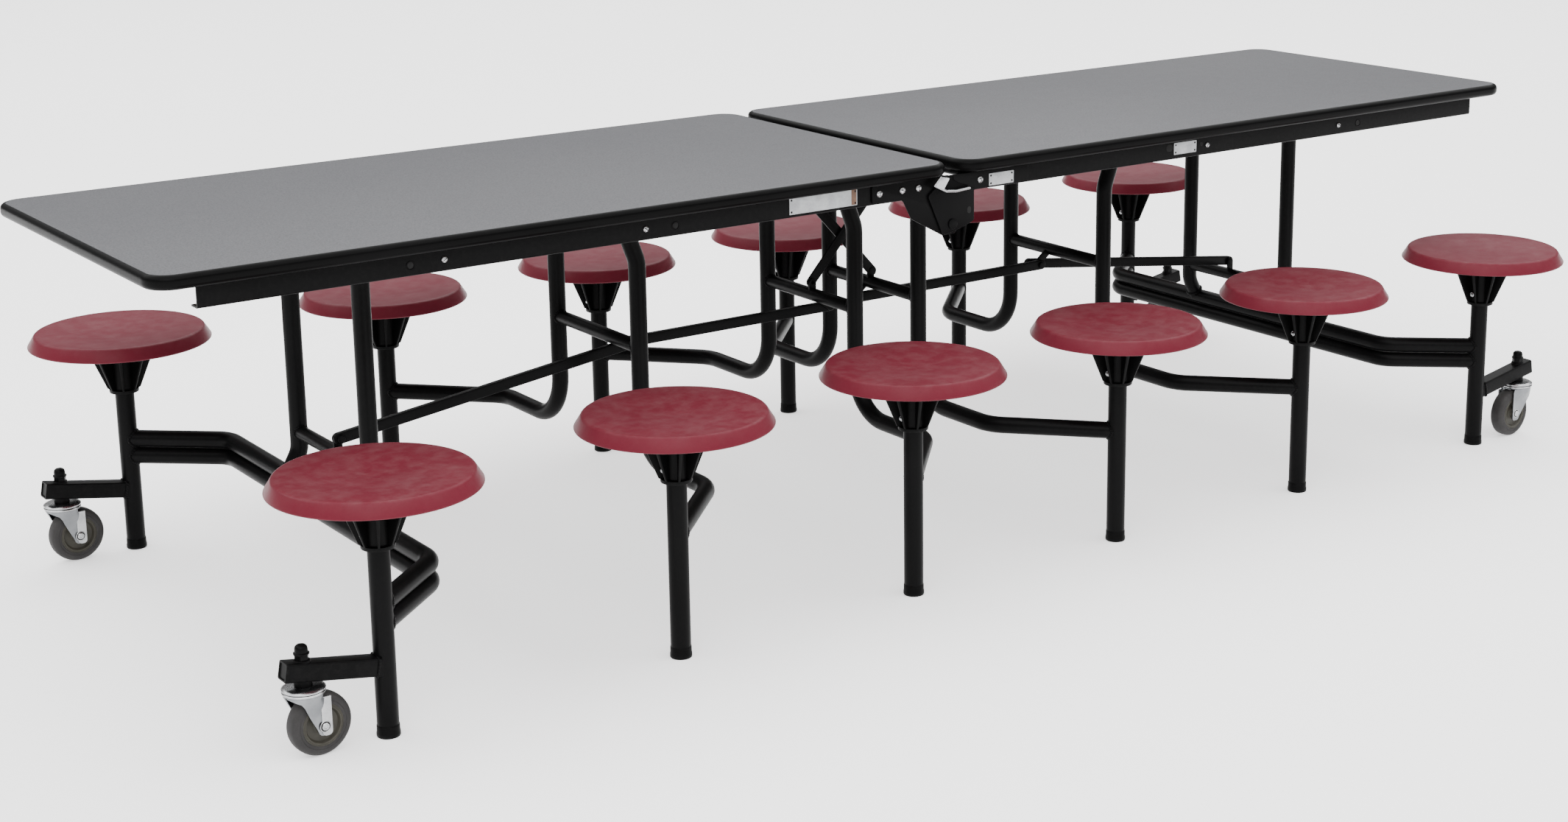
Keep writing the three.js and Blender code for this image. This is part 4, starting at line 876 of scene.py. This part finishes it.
# The seat's profile from the centre of its top, out over the rim, down the flared skirt and back underneath.
# The dish is a cosine, lowest at the centre and level at the rim, less a small bell curve at the moulding gate.
def seatProfile():
    r, high, skirt, boss, flat = seat["radius"], seat["height"], seat["skirt"], seat["boss"], seat["flat"]
    radii = np.linspace(seat["start"], flat, 16)
    gate = seat["gate"] * np.exp(-(radii / seat["gateWidth"]) ** 2)
    dish = seat["dish"] * (0.5 + 0.5 * np.cos(pi * radii / flat))
    rim = arc(r - seat["rimIn"], high - seat["rimRound"], seat["rimRound"], quarter, seat["rimAngle"], 7)
    lip = arc(r - seat["lipRound"], skirt + seat["lipRound"], seat["lipRound"], seat["lipAngle"], -quarter, 6)
    innerLip = [(r - inset, skirt + rise) for inset, rise in seat["innerLip"]]
    inner = arc(r - seat["rimIn"], high - seat["innerDrop"], seat["innerRound"], seat["rimAngle"], quarter, 6)
    floor = seat["bottom"] + 0.2
    under = [(flat - 4, high - seat["sheet"]), (boss + 14, high - 12), (boss + 6, high - 17), (boss + 2, skirt),
             (boss, floor), (20, floor)]
    return np.concatenate([np.stack([radii, high - dish - gate], axis=1), rim, lip, innerLip, inner, under])


# Ribs under the seat: one thin upright plate, turned by even shares of a full circle
def seatUnderRibs(place):
    rib = plate(np.array(seat["rib"]), -seat["ribHalf"], seat["ribHalf"], seat["ribEdge"])
    return [stood(rib, 2 * pi * (i + 0.5) / seat["underRibs"], place) for i in range(seat["underRibs"])]


# The hub: its radius is the sleeve's between ribs and the cone's on them, from a pattern of columns round the axis
def hubGrid(x, y):
    low, high, collar, edge = hub["low"], hub["high"], hub["collar"], hub["edge"]
    heights = np.concatenate([low + np.array([0, 1, collar - 1, collar]),
                              np.linspace(low + collar + 1.5, high - 5, 6), high - np.array(hub["headSteps"])])
    share = np.clip((heights - low - collar) / (high - low - collar), 0, 1)
    root = hub["foot"] + hub["flare"]
    cone = root + (hub["top"] - root) * share
    cone[:4] = hub["foot"]
    cone[[0, -1]] -= edge
    open_, shut = hub["hollowEnds"]
    hollow = np.where((share > open_) & (share < shut), hub["sleeve"] + hub["hollowSlope"] * share, cone)
    pitch = 2 * pi / hub["ribs"]
    offsets = np.concatenate([hub["ribHalf"] / hub["ribAt"] * np.array(hub["ribShares"]),
                              pitch * np.array(hub["hollowShares"])])
    angles = (np.arange(hub["ribs"])[:, None] * pitch + offsets[None]).ravel() + hub["firstRib"]
    radius = hollow[:, None] + (cone - hollow)[:, None] * np.tile(hub["raisedShares"], hub["ribs"])[None]
    bore = np.full((2, len(angles)), hub["bore"])
    radius, heights = np.concatenate([radius, bore]), np.concatenate([heights, [high, low]])
    return np.stack([x + radius * np.cos(angles), y + radius * np.sin(angles),
                     np.broadcast_to(heights[:, None], radius.shape)], axis=-1), True


# Two screws on pads, turned about X on opposite sides of the sleeve
def hubScrews(x, y, facing):
    lean = np.array([[0, 0, 1], [0, 1, 0], [-1, 0, 0]], float)
    parts = []
    for angle in (facing, facing + pi):
        place = np.array([cos(angle), sin(angle), 0]) * (hub["sleeve"] + hub["screwOut"]) + [x, y, hub["screwHeight"]]
        for profile in (hub["screw"], hub["screwPad"]):
            grid, _ = turned(profile, 0, 0, 20)
            parts.append(stood((grid @ lean.T, False), angle, place))
    return parts


def stoolPieces(side, kind):
    body, x = f"{side}_{kind}_stools", -frameKinds[kind]["stoolX"]
    facing = hub["screwAngle"] + (0 if side == "left" else pi)
    for ySign in (-1, 1):
        y, name = ySign * post["rowY"], f"{side}_{kind}_{rowName(side, ySign)}"
        shell = [turned(seatProfile(), x, y, seat["sides"])] + seatUnderRibs([x, y, 0])
        glideCap = turned(glide["profile"], x, y, glide["sides"])
        addPiece(f"{name}_seat_shell", body, "maroonSeat", shell, f"{name}_seat", side)
        addPiece(f"{name}_hub_cone", body, "hubPlastic", [hubGrid(x, y)], f"{name}_hub", side)
        addPiece(f"{name}_hub_screws", body, "brightZinc", hubScrews(x, y, facing), None, side)
        addPiece(f"{name}_glide", body, "hubPlastic", [glideCap], None, side)


for side in halfTurns:
    for kind in frameKinds:
        stoolPieces(side, kind)
print("stools made")


# Link bars with a near-black plate of painted shade in the slot of the outer one, and flat crossing straps with their
# rivets
def linkPieces(side):
    half, reach, edge = link["height"] / 2, link["reach"], link["edge"]
    outer = plate(stadium(link["endPin"], link["midPin"], half, reach, link["slot"] + reach), *link["outerY"], edge)
    inner = plate(stadium(link["midPin"], link["innerPin"], half, reach, reach), *link["innerY"], edge)
    flat = plate(stadium(strap["foot"], strap["top"], strap["width"] / 2), *strap["y"], strap["edge"])
    for kind, bar in (("outer_bar", outer), ("inner_bar", inner), ("flat_strap", flat)):
        node = {"outer_bar": "outer_link", "inner_bar": "inner_link", "flat_strap": "cross_strap"}[kind]
        addPiece(f"{side}_{kind}", f"{side}_{node}", "blackCoat", [bar], f"{side}_{node}", side)
    # The slot is a near-black plate of painted shade on each face of the outer bar
    slot = stadium(link["midPin"], np.array(link["midPin"]) + link["slotEnd"], link["slotRadius"], steps=8)
    gaps = [plate(slot, y - link["slotDepth"], y + link["slotDepth"], link["slotEdge"]) for y in link["outerY"]]
    addPiece(f"{side}_bar_slot_shade", f"{side}_outer_link", "shadowGap", gaps, None, side)
    rivets = [rodAlongY(*strap[end], strap["rivet"], *strap[f"{end}RivetY"], strap["rivetEdge"], 28)
              for end in ("foot", "top")]
    addPiece(f"{side}_strap_rivets", f"{side}_cross_strap", "blackCoat", rivets, None, side)


for side in halfTurns:
    linkPieces(side)
print("links made")

# Casters, built about the stem with the fork along X and then turned about it
caster = {"stemX": 1410, "turn": radians(4), "upperRing": ((1, 117.9), (26, 117.9), (29, 117.4), (32.6, 116),
          (34, 114.6), (33.8, 113), (31.8, 112.2), (31, 111.8), (1, 111.8)),
          "lowerRing": ((1, 111.6), (30.8, 111.6), (32.8, 111.1), (33.9, 109.8), (33.6, 108.2), (31.4, 107.1),
                        (28.5, 106.2), (25, 105.6), (1, 105.6)),
          "raceShade": ((1, 111.5), (30.4, 111.5), (30.4, 112.2), (1, 112.2))}
fork = {"wall": 2.6, "flat": 19.5, "arc": 31.5, "top": 106, "flatBelow": 66, "columns": 19,
        "levels": (106, 104, 101, 99, 97, 95, 90, 84, 77, 70, 62, 54, 48, 43, 39.5, 37, 36),
        "foot": ((36, 19, 28), (37, 15.6, 31), (39.5, 12.8, 33.2), (43, 11.3, 34)),
        "near": (((45, 11), (90, -12), (97, -17), (104, -31), (106, -31.2)),
                 ((90, 34), (95, 32), (97, 25), (99, 18), (106, 20))),
        "far": (((67, -9), (90, -20), (98, -25), (104, -30), (106, -31.2)), ((90, 34), (99, 34), (106, 31))),
        "strip": ((17, 35.5, 7), (34.3, 35.5, 7), (34.3, 99, 1.5), (17, 99, 1.5)), "stripOut": 2.2,
        "stripIn": 0.6, "stripEdge": 0.7, "crown": 31.3, "crownZ": (105, 107.6), "crownEdge": 0.6,
        "tab": ((20, -9), (33, -9), (33, -3), (29, 0), (33, 3), (33, 9), (20, 9)), "tabRound": 1,
        "tabZ": (103.6, 105.8), "tabEdge": 0.5}
axle = {"x": 22, "z": 51, "radius": 5, "endY": 20, "edge": 0.4,
        "washer": ((7.8, -0.4), (9.4, -0.4), (9.4, 0.2), (8.9, 0.6), (8.2, 0.6), (7.8, 0.2)),
        "head": ((6.2, -0.4), (6.2, 1.2), (5.4, 2), (3.8, 2.2), (3.2, 1.4), (0.6, 1.3)),
        "headShadeRing": ((6.2, -0.2), (7.8, -0.2), (7.8, 0.3), (6.2, 0.3))}
wheel = {"radius": 51, "crownFall": 1.4, "shoulderFall": 2.6, "crownHalf": 12.8,
         "tyre": ((34.3, 14.6), (35.5, 15), (38.3, 15), (39, 14.5), (39.7, 15), (44, 14.4)),
         "core": ((5.4, 14.8), (10.6, 14.8), (11.6, 14.2), (12.4, 11), (14.5, 9.4), (22, 9.1), (26.5, 9.8),
                  (28, 11.6), (28.8, 14.2), (29.4, 14.8), (30.6, 14.9), (31.2, 14.1), (32.6, 14.1), (33.2, 14.8),
                  (34, 14.6))}


# A fork leg: a pressed wall that starts on the raceway's arc and flattens on its way down to the axle. Its distance
# out is the flat one plus, times a falling smooth step, what the root of the arc radius squared less x squared adds.
def forkLeg(ySign):
    foot, levels, edges = np.array(fork["foot"]), np.array(fork["levels"]), fork["near" if ySign < 0 else "far"]
    lead, trail = (np.interp(levels, *np.vstack([foot[:, [0, k + 1]], edges[k]]).T) for k in (0, 1))
    x = lead[:, None] + (trail - lead)[:, None] * np.linspace(0, 1, fork["columns"])
    fall = np.clip((levels - fork["flatBelow"]) / (fork["top"] - fork["flatBelow"]), 0, 1)
    share = (fall * fall * (3 - 2 * fall))[:, None]
    onArc = np.sqrt(np.maximum(fork["arc"] ** 2 - x ** 2, 0))
    onArc = np.where(x > 0, np.maximum(onArc, fork["flat"]), onArc)
    out = fork["flat"] + (onArc - fork["flat"]) * share
    step = unit(np.stack([x * share / fork["arc"], out / fork["arc"]], axis=-1)) * fork["wall"]
    z = np.broadcast_to(levels[:, None], x.shape)
    front = np.stack([x, out * ySign, z], axis=-1)
    back = np.stack([x - step[..., 0], (out - step[..., 1]) * ySign, z], axis=-1)[:, ::-1]
    return np.concatenate([front, back], axis=1), False


# The plates and walls of the fork, and its raceway rings with the flat strip that stands proud of the outer wall; the
# rings and strip are in the lighter zinc of painted highlight
def forkParts():
    crown = plate(circle(fork["crown"], 40), *fork["crownZ"], fork["crownEdge"], "z")
    tab = plate(roundedOutline(fork["tab"], fork["tabRound"], 3), *fork["tabZ"], fork["tabEdge"], "z")
    strip = plate(rounded(fork["strip"]), -fork["flat"] - fork["stripOut"], -fork["flat"] + fork["stripIn"],
                  fork["stripEdge"])
    return [crown, tab, forkLeg(-1), forkLeg(1)], [turned(caster["upperRing"]), turned(caster["lowerRing"]), strip]


# What surrounds the axle on both sides of the fork, turned about it from the wall's own face
def axleEnds(kind, closed):
    faces = {-1: fork["flat"] + fork["stripOut"], 1: fork["flat"]}
    return [flipped(turnedAlongY(lifted(axle[kind], face), axle["x"], axle["z"], 32, closed), ySign)
            for ySign, face in faces.items()]


# A wheel part's profile from its bore out one face and back in along the other. The tread falls away from its
# middle by the square and the eighth power of the distance.
def wheelProfile(kind):
    face = np.array(wheel[kind])
    across = np.linspace(-1, 1, 9)
    tread = np.stack([wheel["radius"] - wheel["crownFall"] * across ** 2 - wheel["shoulderFall"] * across ** 8,
                      -wheel["crownHalf"] * across], axis=1)
    return np.concatenate([face, tread if kind == "tyre" else face[:0], face[::-1] * [1, -1]])


def casterPieces(side):
    legs, bright = forkParts()
    bolt = [rodAlongY(axle["x"], axle["z"], axle["radius"], -axle["endY"], axle["endY"], axle["edge"])]
    bolt += axleEnds("washer", True) + axleEnds("head", False)
    # A near-black ring of painted shade between the two raceway rings, and one round each axle head
    gaps = [turned(caster["raceShade"], sides=40)] + axleEnds("headShadeRing", True)
    tyre = turnedAlongY(wheelProfile("tyre"), axle["x"], axle["z"], 96, True)
    core = turnedAlongY(wheelProfile("core"), axle["x"], axle["z"], 72, True)
    for ySign in (-1, 1):
        name, place = f"{side}_{rowName(side, ySign)}", [-caster["stemX"], ySign * post["rowY"], 0]
        for label, body, finish, grids, stands in (
                ("fork_legs", "caster", "zinc", legs, "fork"),
                ("raceway_and_strip", "caster", "brightZinc", bright, None),
                ("axle_bolt", "caster", "brightZinc", bolt, None),
                ("race_and_axle_shade", "caster", "shadowGap", gaps, None),
                ("tyre_rubber", "wheel", "tyreRubber", [tyre], "tyre"),
                ("core_disc", "wheel", "corePlastic", [core], "wheel_core")):
            addPiece(f"{name}_{label}", f"{name}_{body}", finish, [stood(grid, caster["turn"], place) for grid in grids],
                     stands and f"{name}_{stands}", side)


for side in halfTurns:
    casterPieces(side)
print("casters made")

# Latch: a bent zinc rod with a finger tab that leans towards the hinge and has a curled edge
latch = {"line": ((36, -359.2, 684), (36, -366.6, 684), (4, -366.6, 681.5), (-20, -366.6, 684), (-46, -366.6, 697)),
         "bends": (4, 12, 12), "rod": 3, "rodEdge": 0.8, "rodSides": 20,
         "tab": ((-51, 697), (-30, 688), (-15, 709), (-36, 713)), "tabRound": 2, "tabY": (-370.8, -369.2),
         "tabEdge": 0.4, "curlY": -370.2, "curl": 2.2, "curlSides": 16}


def addLatch():
    rod = tube(latch["line"], latch["bends"], latch["rod"], latch["rodSides"], latch["rodEdge"])
    tab = plate(roundedOutline(latch["tab"], latch["tabRound"], 4), *latch["tabY"], latch["tabEdge"])
    edge = np.array([(x, latch["curlY"], z) for x, z in (latch["tab"][0], latch["tab"][3])])
    curl = carried(edge, circle(latch["curl"], latch["curlSides"]), latch["rodEdge"])
    addPiece("latch_rod_and_tab", "latch", "brightZinc", [rod, tab, curl], "latch_lever")


addLatch()
print("latch made")

# Studio: a pale floor, a soft key from the front left, a wide fill overhead and a bright surround
studio = {"floor": (0.92, 0.92, 0.92, 1), "floorHalf": 40, "floorRoughness": 0.9, "floorSpecular": 0.1, "glow": 0.8,
          "world": 0.36, "aim": (0, 0, 0.4),
          "lights": {"overhead": ((0, 0, 9), 30.0, 8200), "key": ((-3.5, -4.5, 4.5), 4.0, 110)}}


def addStudio():
    mesh = bpy.data.meshes.new("studio_floor")
    half = studio["floorHalf"]
    mesh.from_pydata([(-half, -half, 0), (half, -half, 0), (half, half, 0), (-half, half, 0)], [], [(0, 1, 2, 3)])
    floor = bpy.data.objects.new("studio_floor", mesh)
    bpy.context.collection.objects.link(floor)
    paint = bpy.data.materials.new("studioFloor")
    paint.use_nodes = True
    shader = paint.node_tree.nodes["Principled BSDF"]
    for socket, value in (("Base Color", studio["floor"]), ("Roughness", studio["floorRoughness"]),
                          ("Specular IOR Level", studio["floorSpecular"]), ("Emission Color", white),
                          ("Emission Strength", studio["glow"])):
        shader.inputs[socket].default_value = value
    mesh.materials.append(paint)
    world = bpy.data.worlds.new("studio_surround")
    world.use_nodes = True
    world.node_tree.nodes["Background"].inputs["Color"].default_value = white
    world.node_tree.nodes["Background"].inputs["Strength"].default_value = studio["world"]
    bpy.context.scene.world = world
    for name, (place, size, power) in studio["lights"].items():
        data = bpy.data.lights.new(name, "AREA")
        data.size, data.energy = size, power
        light = bpy.data.objects.new(name, data)
        light.location = place
        light.rotation_euler = (Vector(studio["aim"]) - Vector(place)).to_track_quat("-Z", "Y").to_euler()
        bpy.context.collection.objects.link(light)


addStudio()
print("studio lit")
